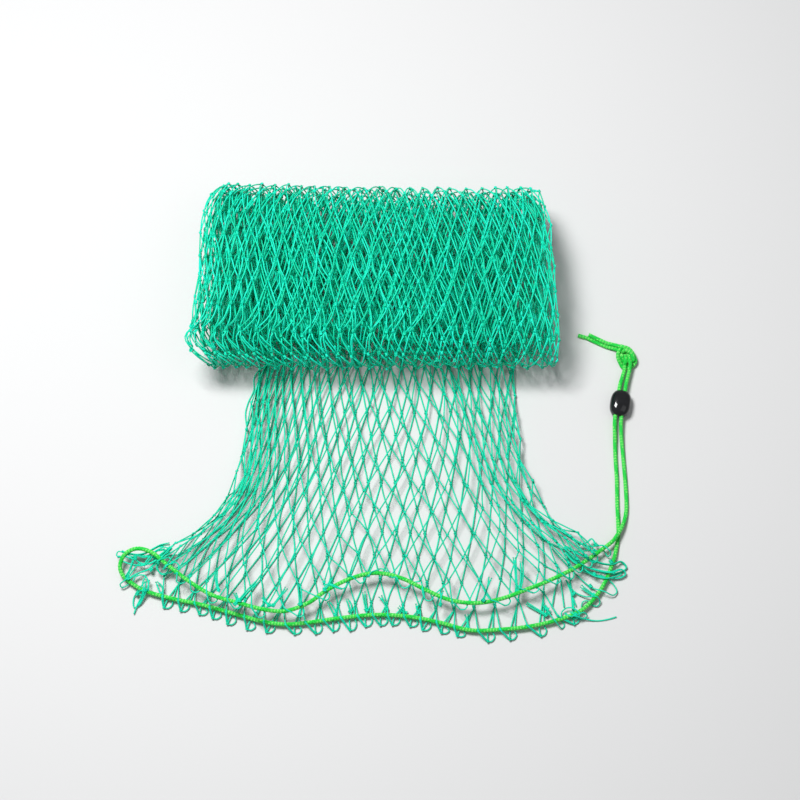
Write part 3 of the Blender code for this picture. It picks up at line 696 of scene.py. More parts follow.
def relax(knots, rounds=90, pull=0.06):
    """Moves knots in plan until every bar is at most BAR long. The mouth hardly gives."""
    guide = knots.copy()
    gives = np.ones(len(knots))
    gives[0] = MOUTH_GIVES
    for _ in range(rounds):
        for row in range(len(knots) - 1):
            total = gives[row] + gives[row + 1]
            for there in neighbours(row):
                gap = knots[row + 1, there] - knots[row]
                length = np.linalg.norm(gap, axis=1)
                wanted = np.clip(length, SHORTEST * BAR, BAR)
                move = (gap * ((length - wanted) / length)[:, None])[:, :2]
                knots[row, :, :2] += move * gives[row] / total * MENDED
                knots[row + 1, there, :2] -= move * gives[row + 1] / total * MENDED
        knots[1:, :, :2] += (guide[1:, :, :2] - knots[1:, :, :2]) * pull
    return knots


# %% The spread part, with its knots a little scattered, most in the bunched sides
OPEN_SCATTER, BUNCHED_SCATTER = 0.32, 0.8       # mm
skirt = skirt_rows()
# bunched is 0 over the open middle half and 1 at both folds. Heights scatter most where it
# is 1, and the mouth's own row scatters least.
column_now = (np.arange(MESHES)[None] + 0.5 * (np.arange(SKIRT_ROWS + 1) % 2)[:, None]) % HALF
bunched = np.clip(np.abs(column_now / HALF * 2 - 1) * 2.2 - 1.1, 0, 1)[..., None]
scatter = rng.normal(0, 1, skirt.shape) * (OPEN_SCATTER + BUNCHED_SCATTER * bunched) * MM
scatter[..., 2] *= 0.5 + 2.2 * bunched[..., 0]
scatter[0] *= 0.4
skirt = on_floor(relax(skirt + scatter), TWINE)
lengths = np.linalg.norm(skirt[1:] - skirt[:-1], axis=2)
print(f"bars of the spread part, mm: {lengths.min() / MM:.1f} to {lengths.max() / MM:.1f}")

# %% [markdown]
# ## The roll's spiral band
#
# The wound part is a flattened spiral: a superellipse whose half depth and half height
# shrink by 6 mm a turn, wound from under the roll to the far side, over the top, down the
# near side and in again. The tube's lower layer becomes the outer face of the band.

# %% Spiral band
BAND_THICK, BAND_PITCH = 4.8 * MM, 6.0 * MM
ROLL_CENTRE_Y, ROLL_HALF_DEPTH, ROLL_HALF_HEIGHT = 101.0 * MM, 78.0 * MM, 30.4 * MM
ROLL_SQUARENESS, FLAT_SPOT_DEPTH, BAND_WAVE = 2.6, 1.2 * MM, 0.5 * MM
ROLL_START, ROLL_TURNS = -0.10, 4.2
LAYER_LIFT = 1.3 * MM             # of each layer of the flattened tube from its middle
FAR_SHIFT = 3.0 * MM              # a turn: the windings lie closer at the far side
FAR_TILT = 0.018                  # the far side was wound a little askew
# Ends of the rolled band: turns wound, left end, right end (mm).
ROLL_ENDS = np.array((
    (-0.10, -91, 120), (0.00, -97, 122), (0.25, -112, 129), (0.34, -121, 135),
    (0.42, -128, 141), (0.52, -128, 144), (0.58, -131, 146), (0.625, -141, 147),
    (0.67, -134, 146), (0.76, -122, 145), (1.00, -119, 139), (1.25, -113, 131),
    (1.42, -124, 138), (1.62, -134, 144), (1.78, -122, 143), (2.00, -119, 140),
    (2.25, -115, 132), (2.50, -126, 141), (2.62, -131, 143), (2.78, -123, 142),
    (3.20, -118, 137), (3.50, -123, 140), (3.62, -127, 142), (3.80, -121, 139),
    (4.20, -121, 134),
))


def band_middle(turn, share):
    """Middle of the band: y = centre + depth c, z = middle + height s, where c and s are
    the cosine and sine of the turn's angle to the power 2/squareness, signs kept."""
    inset = BAND_PITCH * turn
    angle = 2 * np.pi * turn - np.pi / 2
    power = 2 / ROLL_SQUARENESS
    cos = np.sign(np.cos(angle)) * np.abs(np.cos(angle)) ** power
    sin = np.sign(np.sin(angle)) * np.abs(np.sin(angle)) ** power
    ends = smooth(ROLL_ENDS[:, 0], ROLL_ENDS[:, 1:], turn.ravel()) * MM
    left, right = ends[:, 0].reshape(turn.shape), ends[:, 1].reshape(turn.shape)
    centre_height = ROLL_HALF_HEIGHT + BAND_THICK / 2 - FLAT_SPOT_DEPTH
    wave = BAND_WAVE * np.clip(sin + 0.6, 0, 1) * np.sin(5 * np.pi * share)
    low = BAND_THICK / 2 + inset
    z = np.maximum(low, centre_height + (ROLL_HALF_HEIGHT - inset) * sin + wave)
    x = left + (right - left) * share
    y = ROLL_CENTRE_Y + FAR_SHIFT * np.maximum(turn, 0) + (ROLL_HALF_DEPTH - inset) * cos
    y = y - FAR_TILT * x * np.clip(cos, 0, 1)
    return np.stack([x, y, z], -1)


ROLL_LOWEST = TWINE + 0.05 * MM


def band_layer(turn, share, face):
    """A layer of the band: its middle, moved out (face 1) or in (face -1) across the band."""
    along = band_middle(turn + 0.004, share) - band_middle(turn - 0.004, share)
    outward = unit(np.stack([np.zeros_like(turn), along[..., 2], -along[..., 1]], -1))
    spot = band_middle(turn, share) + outward * (face * parted(share) * LAYER_LIFT)[..., None]
    return on_floor(spot, ROLL_LOWEST)


# %% Rows of knots round the spiral, one bar apart
ROLL_BAR = 19.4 * MM
END_REACH = 0.13                  # share of the roll's width in which knots bunch at an end
LEFT_BUNCH, RIGHT_BUNCH = 0.75, 0.50
FLAT_TURNS = 0.12                 # as far as this the band lies flat on the floor
LEFT_OVER = 20 * MM               # of the band, past its last row
TABLE_LENGTH = 3000
turn_table = np.linspace(ROLL_START, ROLL_TURNS, TABLE_LENGTH)
middle_line = band_middle(turn_table, np.full(TABLE_LENGTH, 0.5))
arc_table = distance_along(middle_line)
flat_run = turn_table < FLAT_TURNS
roll_rows = int((arc_table[-1] - LEFT_OVER) / ROLL_BAR)
print(f"the band is {arc_table[-1]:.2f} m long and has room for {roll_rows} rows")


def bunched_share(share):
    """Place across the roll: spacing 1 - b exp(-distance to an end / reach), summed up."""
    def total(at):
        """The spacing summed up from the left end."""
        left = LEFT_BUNCH * END_REACH * (1 - np.exp(-at / END_REACH))
        right = np.exp(-(1 - at) / END_REACH) - np.exp(-1 / END_REACH)
        return at - left - RIGHT_BUNCH * END_REACH * right
    return total(share) / total(1.0)


def round_the_tube(values, column):
    """Values of the last skirt row's knots, read at other columns round the tube."""
    return np.interp(column % MESHES, np.arange(MESHES + 1), np.append(values, values[0]))


# %% Knots of the roll: even rows that drift and crease a little, as wound netting does
DRIFT, CREASE = 0.010, 0.009      # shares of the roll's width
ARC_WAVE = 2.4 * MM               # that a row wanders along the band
LAYER_STEP = 1.8 * MM             # that the outer layer runs ahead and the inner behind
ROWS_TO_SETTLE = 7                # from the spread part's spacing to the roll's own
last_row = skirt[SKIRT_ROWS]
before = np.minimum(0.0, last_row[:, 1] - middle_line[0, 1])
first_arc = np.interp(last_row[:, 1], middle_line[flat_run, 1], arc_table[flat_run]) + before
left_end, right_end = last_row[:, 0].min(), last_row[:, 0].max()
roll_turn = np.zeros((roll_rows, MESHES))
roll_share = np.zeros((roll_rows, MESHES))
roll_face = np.where(np.arange(MESHES)[None] + 0.25 > HALF, 1.0, -1.0) * np.ones((roll_rows, 1))
for k in range(roll_rows):
    row = SKIRT_ROWS + 1 + k
    column = np.arange(MESHES) + 0.5 * (row % 2)
    outer_layer = column > HALF
    share = np.where(outer_layer, MESHES - column, column) / HALF
    spread = (round_the_tube(last_row[:, 0], column) - left_end) / (right_end - left_end)
    phase = np.where(outer_layer, 1.1 * share - 0.065 * k, 1.6 * share + 0.09 * k + 0.3)
    crease = 3.1 * share + np.where(outer_layer, -0.055 * k, 0.045 * k + 0.4)
    drift = DRIFT * np.sin(2 * np.pi * phase) + CREASE * np.sin(2 * np.pi * crease)
    drift = drift * np.minimum(1, 8 * share) * np.minimum(1, 8 * (1 - share))
    half_step = np.where(outer_layer, 0.25, -0.25) / HALF * parted(share)
    even = bunched_share(share) + drift + half_step
    settle = min(1.0, (k + 1) / ROWS_TO_SETTLE)
    roll_share[k] = np.clip(spread + (even - spread) * settle, 0, 1)
    arc = round_the_tube(first_arc, column) + ROLL_BAR * (k + 1)
    arc = arc + ARC_WAVE * np.sin(2 * np.pi * (1.1 * share + 0.05 * k))
    arc = arc + np.where(outer_layer, LAYER_STEP, -LAYER_STEP) * settle
    roll_turn[k] = np.interp(arc, arc_table, turn_table)
print(f"{SKIRT_ROWS + 1} rows of knots in the spread part and {roll_rows} in the roll")

ROLL_SCATTER = np.array([0.7, 0.6, 0.35]) * MM
roll_scatter = rng.normal(0, 1, (roll_rows, MESHES, 3)) * ROLL_SCATTER
roll = on_floor(band_layer(roll_turn, roll_share, roll_face) + roll_scatter, ROLL_LOWEST)
knots = np.concatenate([skirt, roll])
ROWS = len(knots)

# %% [markdown]
# ## Knots and bars
#
# Each knot is a sheet bend: one strand comes down, makes a bight and goes back up, and the
# other comes up through the bight, passes round behind it and goes down again. The middle of
# the knot is a small template, turned to face the way its own netting runs. Its four legs
# point straight at the four knots round it, and the bars carry on from there.

# %% Directions at the knots: to the knots around, across the columns and outwards
LEG = 2.0 * MM
SPLAY = 0.35                      # how far the mouth's two free legs stand apart


def leg_directions(knots):
    """Unit directions from each knot: (rows, meshes, left or right, mouth or roll, 3)."""
    legs = np.zeros((len(knots), MESHES, 2, 2, 3))
    here = np.arange(MESHES)
    for row in range(len(knots) - 1):
        for side, there in enumerate(neighbours(row)):
            gap = unit(knots[row + 1, there] - knots[row])
            legs[row, :, side, 1] = gap
            legs[row + 1, there, 1 - side, 0] = -gap
    legs[-1, :, :, 1] = -legs[-1, :, ::-1, 0]
    outer_side = np.where(here < HALF, 1.0, -1.0)[:, None] * np.array([1.0, 0.0, 0.0])
    down = -unit(legs[0, :, 0, 1] + legs[0, :, 1, 1])
    legs[0, :, 0, 0] = unit(down - outer_side * SPLAY)
    legs[0, :, 1, 0] = unit(down + outer_side * SPLAY)
    return legs


legs = leg_directions(knots)
towards = unit(legs[..., 1, :].sum(2) - legs[..., 0, :].sum(2))
column_side = np.where(np.arange(MESHES) + 0.25 < HALF, 1.0, -1.0)[:, None]
across = legs[:, :, 1].sum(2) - legs[:, :, 0].sum(2) + column_side * np.array([0.5, 0, 0])
across = unit(across - (across * towards).sum(-1, keepdims=True) * towards)
outwards = np.cross(across, towards)
print(f"{towards.shape[0] * towards.shape[1]} knots, each turned its own way")

# %% The two strands of a knot (mm: across, along the netting, outwards), and their legs
BIGHT = np.array(((-0.55, 0.8, 0.1), (-0.42, -0.75, 0.3), (0.42, -0.75, 0.3),
                  (0.55, 0.8, 0.1))) * MM
HITCH = np.array(((-0.4, -1.0, -0.4), (0.3, 0.5, 0.45), (1.0, 0.75, 0.0), (0.4, 0.85, -0.65),
                  (-0.7, 0.75, -0.6), (-0.95, 0.35, 0.3), (0.4, -0.45, 0.85))) * MM


def leg_ends(rows, side, way):
    """Where a knot's leg ends and a bar starts."""
    return knots[rows] + legs[rows][:, :, side, way] * LEG


def tied(rows, brightest=1.0):
    """Both strands of every knot in some rows, with their legs."""
    tones = rng.random(len(knots[rows].reshape(-1, 3))) * brightest
    forms = []
    for template, way in ((BIGHT, 1), (HITCH, 0)):
        spots = knots[rows][..., None, :]
        for axis, part in zip((across, towards, outwards), template.T):
            spots = spots + axis[rows][..., None, :] * part[:, None]
        left = leg_ends(rows, 0, way)[..., None, :]
        right = leg_ends(rows, 1, way)[..., None, :]
        spots = np.concatenate([left, spots, right], axis=2).reshape(-1, len(template) + 2, 3)
        forms.append(sweep(on_floor(spots, TWINE), TWINE, 4, tone=tones))
    return forms


# %% [markdown]
# A bar in the spread part is taut or bows a little where it has slack, each its own way. In
# the roll it bends with the winding, so it is laid on the same surface as its knots. Only
# the outer windings are drawn in full. Inside, fewer points and plainer knots look the same.

# %% Bars of the spread part: straight, or bowed where there is slack
FREE_BAR = 16.2 * MM              # length of a bar between its knots' legs
MOST_BOW = 0.6 * MM


def bars_between(rows):
    """Ends of all the bars that go up from some rows."""
    starts, ends = [], []
    for row in rows:
        for side, there in enumerate(neighbours(row)):
            starts.append(knots[row] + legs[row, :, side, 1] * LEG)
            ends.append(knots[row + 1, there] + legs[row + 1, there, 1 - side, 0] * LEG)
    return np.concatenate(starts), np.concatenate(ends)


def skirt_bars(samples=7):
    """Paths of the bars between skirt rows, each an arc whose sag takes up its slack:
    rise = sqrt(3 d (L - d) / 8) for a chord d of a bar L long."""
    start, end = bars_between(range(SKIRT_ROWS + 1))
    chord = np.linalg.norm(end - start, axis=1)
    bow = np.sqrt(np.maximum(0.0, 3 * chord * (FREE_BAR - chord)) / 8)
    bow = np.minimum(bow, MOST_BOW) * rng.uniform(0, 1, len(chord))
    line = unit(end - start)
    flat_side = unit(np.cross(line, [0.0, 0.0, 1.0])) * rng.choice([-1, 1], len(chord))[:, None]
    lean = unit(flat_side + np.array([0, 0, 1.0]) * rng.normal(0, 0.25, (len(chord), 1)))
    share = np.linspace(0, 1, samples)[None, :, None]
    path = start[:, None] + (end - start)[:, None] * share
    path = path + (lean * bow[:, None])[:, None] * 4 * share * (1 - share)
    return on_floor(path, TWINE)


skirt_paths = skirt_bars()
skirt_bar_form = sweep(skirt_paths, TWINE, 6, tone=rng.random(len(skirt_paths)) * SKIRT_TONE)
print(f"{len(skirt_paths)} bars in the spread part")

# %% Bars of the roll: they follow the band's surface from knot to knot
SWAY = 0.25                       # mm, sideways


def roll_bars(first, last, samples):
    """Paths of the bars between roll rows, laid on the surface between their knots' places
    and moved evenly so that they meet both legs' ends."""
    paths = []
    here = np.arange(MESHES)
    gap = LEG / ROLL_BAR
    u = np.linspace(0, 1, samples)
    t = gap + (1 - 2 * gap) * u
    for k in range(first, last):
        row = SKIRT_ROWS + 1 + k
        for side, there in enumerate(neighbours(row)):
            column = here + 0.5 * (row % 2) + (side - 0.5) * 0.5
            face = np.where((column % MESHES) < HALF, -1.0, 1.0)[:, None]
            turn = roll_turn[k][:, None] * (1 - t) + roll_turn[k + 1, there][:, None] * t
            share = roll_share[k][:, None] * (1 - t) + roll_share[k + 1, there][:, None] * t
            path = band_layer(turn, share, face * np.ones_like(turn))
            start = knots[row] + legs[row, :, side, 1] * LEG - path[:, 0]
            end = knots[row + 1, there] + legs[row + 1, there, 1 - side, 0] * LEG - path[:, -1]
            path = path + start[:, None] * (1 - u)[:, None] + end[:, None] * u[:, None]
            sway = rng.normal(0, SWAY, (MESHES, 1, 1)) * MM * np.array([1.0, 0, 0])
            paths.append(on_floor(path + sway * (4 * u * (1 - u))[:, None], TWINE))
    return np.concatenate(paths)


OUTER_ROWS = 21
outer_bar_form = sweep(roll_bars(0, OUTER_ROWS, 6), TWINE, 5)
inner_bar_form = sweep(roll_bars(OUTER_ROWS, roll_rows - 1, 4), TWINE, 4)
inner_rows = roll_rows - 1 - OUTER_ROWS
print(f"{2 * MESHES * OUTER_ROWS} bars in the outer windings, {2 * MESHES * inner_rows} inside")

# %% Knots inside the roll are only plain lumps, thick in the middle and thin at both ends
def lumps(rows):
    """Spindles along the netting: 1 mm in radius at +-0.8 mm and 0.35 mm at +-2 mm."""
    steps = np.array((-2.0, -0.8, 0.8, 2.0)) * MM
    centres = knots[rows].reshape(-1, 1, 3)
    paths = centres + towards[rows].reshape(-1, 1, 3) * steps[:, None]
    radius = np.array([0.35, 1.0, 1.0, 0.35]) * MM
    return sweep(paths, np.broadcast_to(radius, paths.shape[:2]), 4)


# %% The netting's five pieces
skirt_piece = build("net_skirt_bars", [skirt_bar_form], net_twine)
skirt_knots = build("net_skirt_knots", tied(slice(0, SKIRT_ROWS + 1), SKIRT_TONE), net_twine)
outer = slice(SKIRT_ROWS + 1, SKIRT_ROWS + 1 + OUTER_ROWS)
inner = slice(SKIRT_ROWS + 1 + OUTER_ROWS, ROWS)
roll_piece = build("net_roll_outer_bars", [outer_bar_form], net_twine)
roll_knots = build("net_roll_outer_knots", tied(outer), net_twine)
core_piece = build("net_roll_inner", [inner_bar_form, lumps(inner)], net_twine)
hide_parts("net_skirt")
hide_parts("net_roll")

# %% [markdown]
# ## Loops round the drawstring
#
# The last bars go round the cord. From a knot, one bar crosses over the cord and runs
# straight on to the tip of its loop, where it is tied. From the tip, one bar goes back under
# the cord to the next knot, and a loose bight swings out to the side and back. On the upper
# layer the loops are wider and shallower, and most have no tied tip.

# %% Helpers for the loops
def nearest_on_cord(spots, upper):
    """For each place, the index of the nearest point of its own layer's stretch of cord."""
    gaps = np.linalg.norm(spots[:, None, :2] - cord_spots[None, :, :2], axis=2)
    turn_back = np.argmin(cord_spots[:, 0])
    order = np.arange(len(cord_spots))
    other = np.where(upper[:, None], order > turn_back, order < turn_back)
    return np.argmin(gaps + other, axis=1)


def threads(places, samples):
    """Smooth curves, many at once, through the same number of places each."""
    rows = on_floor(np.stack(places), TWINE)
    path = smooth(np.arange(len(places)), rows, np.linspace(0, len(places) - 1, samples))
    return on_floor(path, TWINE).transpose(1, 0, 2)


# %% The loops' knots, their places on the cord, and the ways along it, outwards and up
here = np.arange(MESHES)
CORNER_MESHES = (47, 0, 23, 24)   # the loops at both corners are listed one by one further down
here = here[~np.isin(here, CORNER_MESHES)]
upper = here < HALF
first_knot, second_knot = here, (here + 1) % MESHES
left_knot = np.where(upper, first_knot, second_knot)
right_knot = np.where(upper, second_knot, first_knot)
left_spot, right_spot = knots[0, left_knot], knots[0, right_knot]
middle = (left_spot + right_spot) / 2
near = nearest_on_cord(middle, upper)
cord_here = cord_spots[near]
side = unit(cord_spots[np.minimum(near + 3, len(cord_spots) - 1)] - cord_spots[near - 3])
side = side * np.where(side[:, :1] < 0, -1.0, 1.0)
out = np.cross(side, [0.0, 0.0, 1.0])
out = out * np.where((out * (cord_here - middle)).sum(1, keepdims=True) < 0, -1.0, 1.0)
lift = np.array([0, 0, 1.0]) * (CORD_RADIUS + TWINE + 0.05 * MM)
count = len(here)
print(f"{count} loops round the drawstring, {upper.sum()} of them in the upper layer")


# %% The places that a loop runs through
def wild(spread):
    """A small length for each loop at random, spread as far as given (mm)."""
    return rng.normal(0, spread, (count, 1)) * MM


def by_layer(in_upper, in_lower):
    """One length for the upper layer's loops and another for the lower layer's (mm)."""
    return np.where(upper[:, None], in_upper, in_lower) * MM


reach = by_layer(5.4, 7.6) + wild(0.8)
tip = cord_here + out * reach + side * (by_layer(0.0, 0.4) + wild(0.8))
tip[:, 2] = np.where(upper, cord_here[:, 2] - 0.5 * MM, 1.6 * MM)
over = cord_here + (left_spot - cord_here) * side * side * 0.5
over = over - side * by_layer(2.2, 1.6) + lift
under_near = cord_here + side * (1.4 * MM + wild(0.4)) - lift
under_far = cord_here + side * (by_layer(5.2, 4.6) + wild(0.5)) - lift
bulge = tip + side * by_layer(3.0, 3.2) - out * 0.2 * MM
swing = tip + side * by_layer(5.0, 5.4) - out * reach * 0.45
left_leg = left_spot + legs[0, left_knot, np.where(upper, 1, 0), 0] * LEG
right_leg = right_spot + legs[0, right_knot, np.where(upper, 0, 1), 0] * LEG
beyond = over + (tip - over) * 0.5
print(f"the loops reach {reach.min() / MM:.1f} to {reach.max() / MM:.1f} mm past the cord")

# %% The loops' twines
over_bars = threads([left_leg, over, beyond, tip], 10)
under_bars = threads([tip, under_near, right_leg], 9)
bights = threads([tip, bulge, swing, under_far, right_leg + wild(0.3)], 13)
doubled = beyond + out * wild(0.3) - side * 0.75 * MM
second_bars = threads([over - side * 0.8 * MM, doubled, tip - side * 0.4 * MM], 6)
tied_tip = ~upper
loop_forms = [
    sweep(over_bars, TWINE, 6), sweep(bights, TWINE, 6), sweep(under_bars[tied_tip], TWINE, 6),
    sweep(second_bars[tied_tip | (rng.random(count) < 0.3)], TWINE, 5),
]
wrap = np.linspace(0, 2 * np.pi * 1.4, 12)
around = np.cos(wrap)[:, None] * side[:, None] + np.sin(wrap)[:, None] * np.array([0, 0, 1.0])
hug = tip[:, None] + around * 0.85 * MM + out[:, None] * np.linspace(-0.9, 0.7, 12)[:, None] * MM
loop_forms.append(sweep(on_floor(hug, TWINE)[tied_tip], TWINE, 5))

# %% [markdown]
# At both corners the cord has drawn the mouth together, and the netting there has gone into
# eyes, folds and tangles. No formula gives such places, so each length of twine is a short
# list of points, with a smooth curve through them. Some of the twines lie two together.

# %% Loose loops, eyes and ends, listed one by one (mm)
LOOSE_TWINES = (
    # left corner: an eye round the cord, a bundle, two taut strands and a slack arch
    ((-180, -115, 9.5), (-185, -116, 9.8), (-188, -115, 8.5), (-188, -112, 7.5),
     (-187, -111, 7.2), (-184, -112, 8), (-180, -114, 9), (-176, -116, 9)),
    ((-187, -115, 8), (-180, -116, 9.6), (-174, -118, 8), (-170, -120, 7),
     (-166, -121, 7)),
    ((-183, -112, 10), (-177, -114, 9), (-171, -114, 8), (-164, -116, 8.5),
     (-158, -116, 9), (-155, -114, 10), (-150, -110, 10)),
    ((-178, -117, 8), (-173, -115, 8.8), (-168, -116, 8), (-163, -115, 9),
     (-158, -112, 10.5), (-152, -110, 11)),
    ((-176, -118, 8), (-178, -125, 7.5), (-181, -131, 8.2)),
    ((-175.2, -118, 8), (-177.2, -125, 7), (-180, -132, 8)),
    ((-171, -120, 7), (-175, -125, 7), (-179, -132, 8.2)),
    ((-178, -131, 8.4), (-182, -134, 7), (-185, -136, 5), (-184, -138, 3.5),
     (-181, -137, 3), (-177, -134, 3)),
    ((-180, -133, 8), (-172, -128, 6.5), (-164, -125, 6), (-158, -120, 7),
     (-155, -116, 9), (-149, -111, 11)),
    ((-164, -125, 6), (-160, -121, 7), (-154, -118, 8), (-148, -112, 10)),
    ((-186, -118, 8), (-178, -121, 8), (-170, -122, 7.5), (-162, -120, 8),
     (-154, -115, 9.5), (-148, -110, 11)),
    ((-181, -113, 10.5), (-172, -114, 9.5), (-163, -112, 11), (-155, -108, 11.5),
     (-148, -107, 11)),
    ((-168, -122, 7), (-164, -117, 9), (-159, -112, 11), (-153, -109, 11.5)),
    ((-175, -134, 6), (-174, -131, 6), (-170, -129, 6), (-166, -130, 6),
     (-164, -134, 6.2), (-163, -139, 7.2), (-164, -143, 4.5)),
    # left tangle, hanging off the lower edge
    ((-166, -130, 5), (-168, -135, 6), (-167, -141, 7.5), (-169, -146, 4),
     (-172, -152, 2.5), (-174, -158, 1.5)),
    ((-165.5, -134, 5), (-166.2, -141, 7.5), (-168.2, -147, 4), (-171.4, -152, 2.5)),
    ((-163, -133, 6), (-164, -140, 7.5), (-167, -146, 4.5), (-170, -151, 2.5),
     (-174, -153, 1.5), (-175, -149, 1.5), (-174, -144, 2), (-171, -142, 4),
     (-166, -140, 7.6)),
    ((-170, -141, 5.5), (-165, -142, 7.6), (-169, -144, 4), (-172, -142, 3),
     (-169, -138, 6.5), (-166, -134, 6)),
    # left fold: a ring beside the cord, and strands to the fold's big knot
    ((-155, -119, 9), (-157, -124, 8), (-154, -129, 7), (-149, -128, 7),
     (-145, -127, 8)),
    ((-163, -112, 12.5), (-158, -109, 12), (-151, -109, 11), (-147, -111, 10)),
    # right corner: a wave over the fold, an eye, and five loops round the cord
    ((146, -95, 8), (154, -101, 7.5), (161, -105, 7), (166, -104, 7), (170, -101, 6.5),
     (174, -107, 7)),
    ((142, -91, 8), (152, -99, 7.5), (161, -105, 7.4), (168, -107, 7), (174, -107, 7.5),
     (178, -107, 9.3), (183, -111, 9), (184, -113, 5.5), (182, -114, 3.5),
     (180, -111, 4), (177, -108, 6)),
    ((150, -107, 8), (164, -115, 8), (176, -120, 7.5), (185, -121, 6.8),
     (192, -118, 4), (196, -122, 2.5), (193, -125, 2), (185, -127, 2.4),
     (176, -125, 3), (165, -122, 4.5), (150, -112, 6)),
    ((150, -112, 8), (157, -120, 8), (172, -125, 7.5), (183, -127, 7.4),
     (192, -124, 3.5), (195, -127, 2), (191, -130, 1.6), (182, -130, 2),
     (173, -128, 3), (161, -123, 4.5)),
    ((150, -113, 6), (161, -122, 7), (169, -129, 7), (179, -132, 7.4),
     (189, -129, 3.5), (192, -127, 2.5)),
    ((140, -108, 4), (155, -125, 3), (164, -134, 2.8), (169, -138, 2.8),
     (178, -142, 7), (185, -144, 3), (188, -141, 2), (186, -136, 2.2),
     (182, -132, 2.8), (176, -128, 3)),
    ((150, -132, 2.5), (156, -141, 2.5), (164, -145, 3), (172, -146, 7),
     (175, -149, 3), (173, -152, 1.6), (169, -151, 1.6), (166, -148, 2),
     (162, -149, 2.5), (161, -153, 2)),
    ((150, -132, 2), (154, -143, 2), (157, -152, 1.8)),
    ((146, -131, 2), (147, -143, 2), (148, -153, 1.8)),
    ((144, -131, 2), (141, -142, 2), (139, -153, 1.8)),
    # right tangle, a loose end, and a long leg
    ((146, -161, 2), (146, -157, 3), (150, -154, 4.5), (155, -155, 6.5),
     (159, -159, 7.2), (157, -162, 4), (152, -161, 2), (149, -157, 2)),
    ((148, -158, 3.5), (152, -161, 6.5), (157, -160, 7.2), (162, -158, 6.5),
     (165, -160, 3), (160, -162, 1.5), (155, -160, 1.6)),
    ((152, -157, 5), (157, -161, 7.2), (163, -162, 3), (172, -163, 0.8),
     (180, -162, 0.8), (187, -160, 0.9)),
    ((134, -152, 5), (136, -158, 6), (141, -165, 7.2), (146, -169, 1.2),
     (148, -166, 0.8), (143, -160, 1.4), (139, -152, 2.5)),
    # slack beside the left neck
    ((-84, 38, 4), (-89, 31, 1.5), (-89, 21, 1), (-93, 11, 0.8), (-95, 2, 0.8),
     (-94, -8, 0.8), (-91, -21, 2)),
)
# Places of big knots in the loose twine, x, y, z (mm).
LOOSE_KNOTS = (
    (-174, -117, 8.5), (-166, -141, 7.2), (-172, -143, 4), (-148, -110, 11),
    (-162, -125, 6.5), (161, -105, 7.2), (173, -106, 7.5), (150, -109, 8),
    (159, -119, 8), (168, -137, 3.5), (155, -143, 3), (171, -129, 6.5),
    (156, -160, 6.8), (184, -119, 6.5), (135, -155, 4.5),
)
LOOSE_BUNDLES = (1, 2, 3, 4, 8, 10, 11, 12, 18, 20, 22, 23)   # twines that lie two together
print(f"{len(LOOSE_TWINES)} loose twines and {len(LOOSE_KNOTS)} big knots")

# %% The loose twines, and twine wound round itself as big knots
for number, points in enumerate(LOOSE_TWINES):
    line = curve_through(np.array(points, float), 1.5) * MM
    beside = rng.normal(0, 0.8, (2 if number in LOOSE_BUNDLES else 1, 4, 3)) * MM
    beside[0] = 0
    share = np.linspace(0, 1, len(line))
    offset = smooth((0, 0.33, 0.67, 1), beside.transpose(1, 0, 2), share).transpose(1, 0, 2)
    loop_forms.append(sweep(on_floor(line[None] + offset, TWINE), TWINE, 6))


def wound_knots(centres):
    """Twine wound two and a half times round itself at each centre, turned at random."""
    angle = np.linspace(0, 2 * np.pi * 2.5, 24)
    coil = np.stack([1.1 * np.cos(angle), np.linspace(-1.3, 1.3, 24), 0.9 * np.sin(angle)], -1)
    turns = rng.uniform(0, np.pi, (len(centres), 1))
    x = coil[:, 0] * np.cos(turns) - coil[:, 1] * np.sin(turns)
    y = coil[:, 0] * np.sin(turns) + coil[:, 1] * np.cos(turns)
    z = coil[:, 2] + 0 * turns
    return sweep(on_floor(np.stack([x, y, z], -1) * MM + centres[:, None], TWINE), TWINE, 5)


loop_forms.append(wound_knots(np.array(LOOSE_KNOTS) * MM))

# %% [markdown]
# Where the netmaker joined a new length of twine, two cut ends stand out of a knot. They lie
# side by side, 8 to 20 mm long, and their tips are frayed.

# %% Cut ends: x, y, z at the knot and at the tip (mm)
CUT_ENDS = (
    (0, -155, 2, -2, -143, 4), (15, -154, 2, 11, -146, 4), (29, -157, 2, 25, -154, 4),
    (-12, -156, 2, -14, -148, 3), (-23, -160, 3, -28, -150, 4), (76, -169, 2, 75, -160, 3),
    (87, -151, 16, 92, -135, 16), (112, -143, 13, 111, -119, 14), (114, -143, 13, 116, -122, 14),
    (134, -159, 3, 121, -151, 3), (170, -144, 4, 162, -138, 4), (-154, -143, 3, -157, -135, 4),
    (-110, -143, 15, -112, -129, 16), (-94, -151, 16, -81, -137, 17),
    (-69, -155, 16, -60, -143, 17), (-72, -155, 16, -76, -150, 17),
    (-97, -154, 16, -97, -147, 17), (-49, -154, 16, -50, -140, 17),
    (-31, -143, 16, -26, -134, 16), (39, -157, 3, 38, -152, 4), (136, -157, 3, 133, -152, 4),
    (55, -154, 15, 56, -145, 16),
)

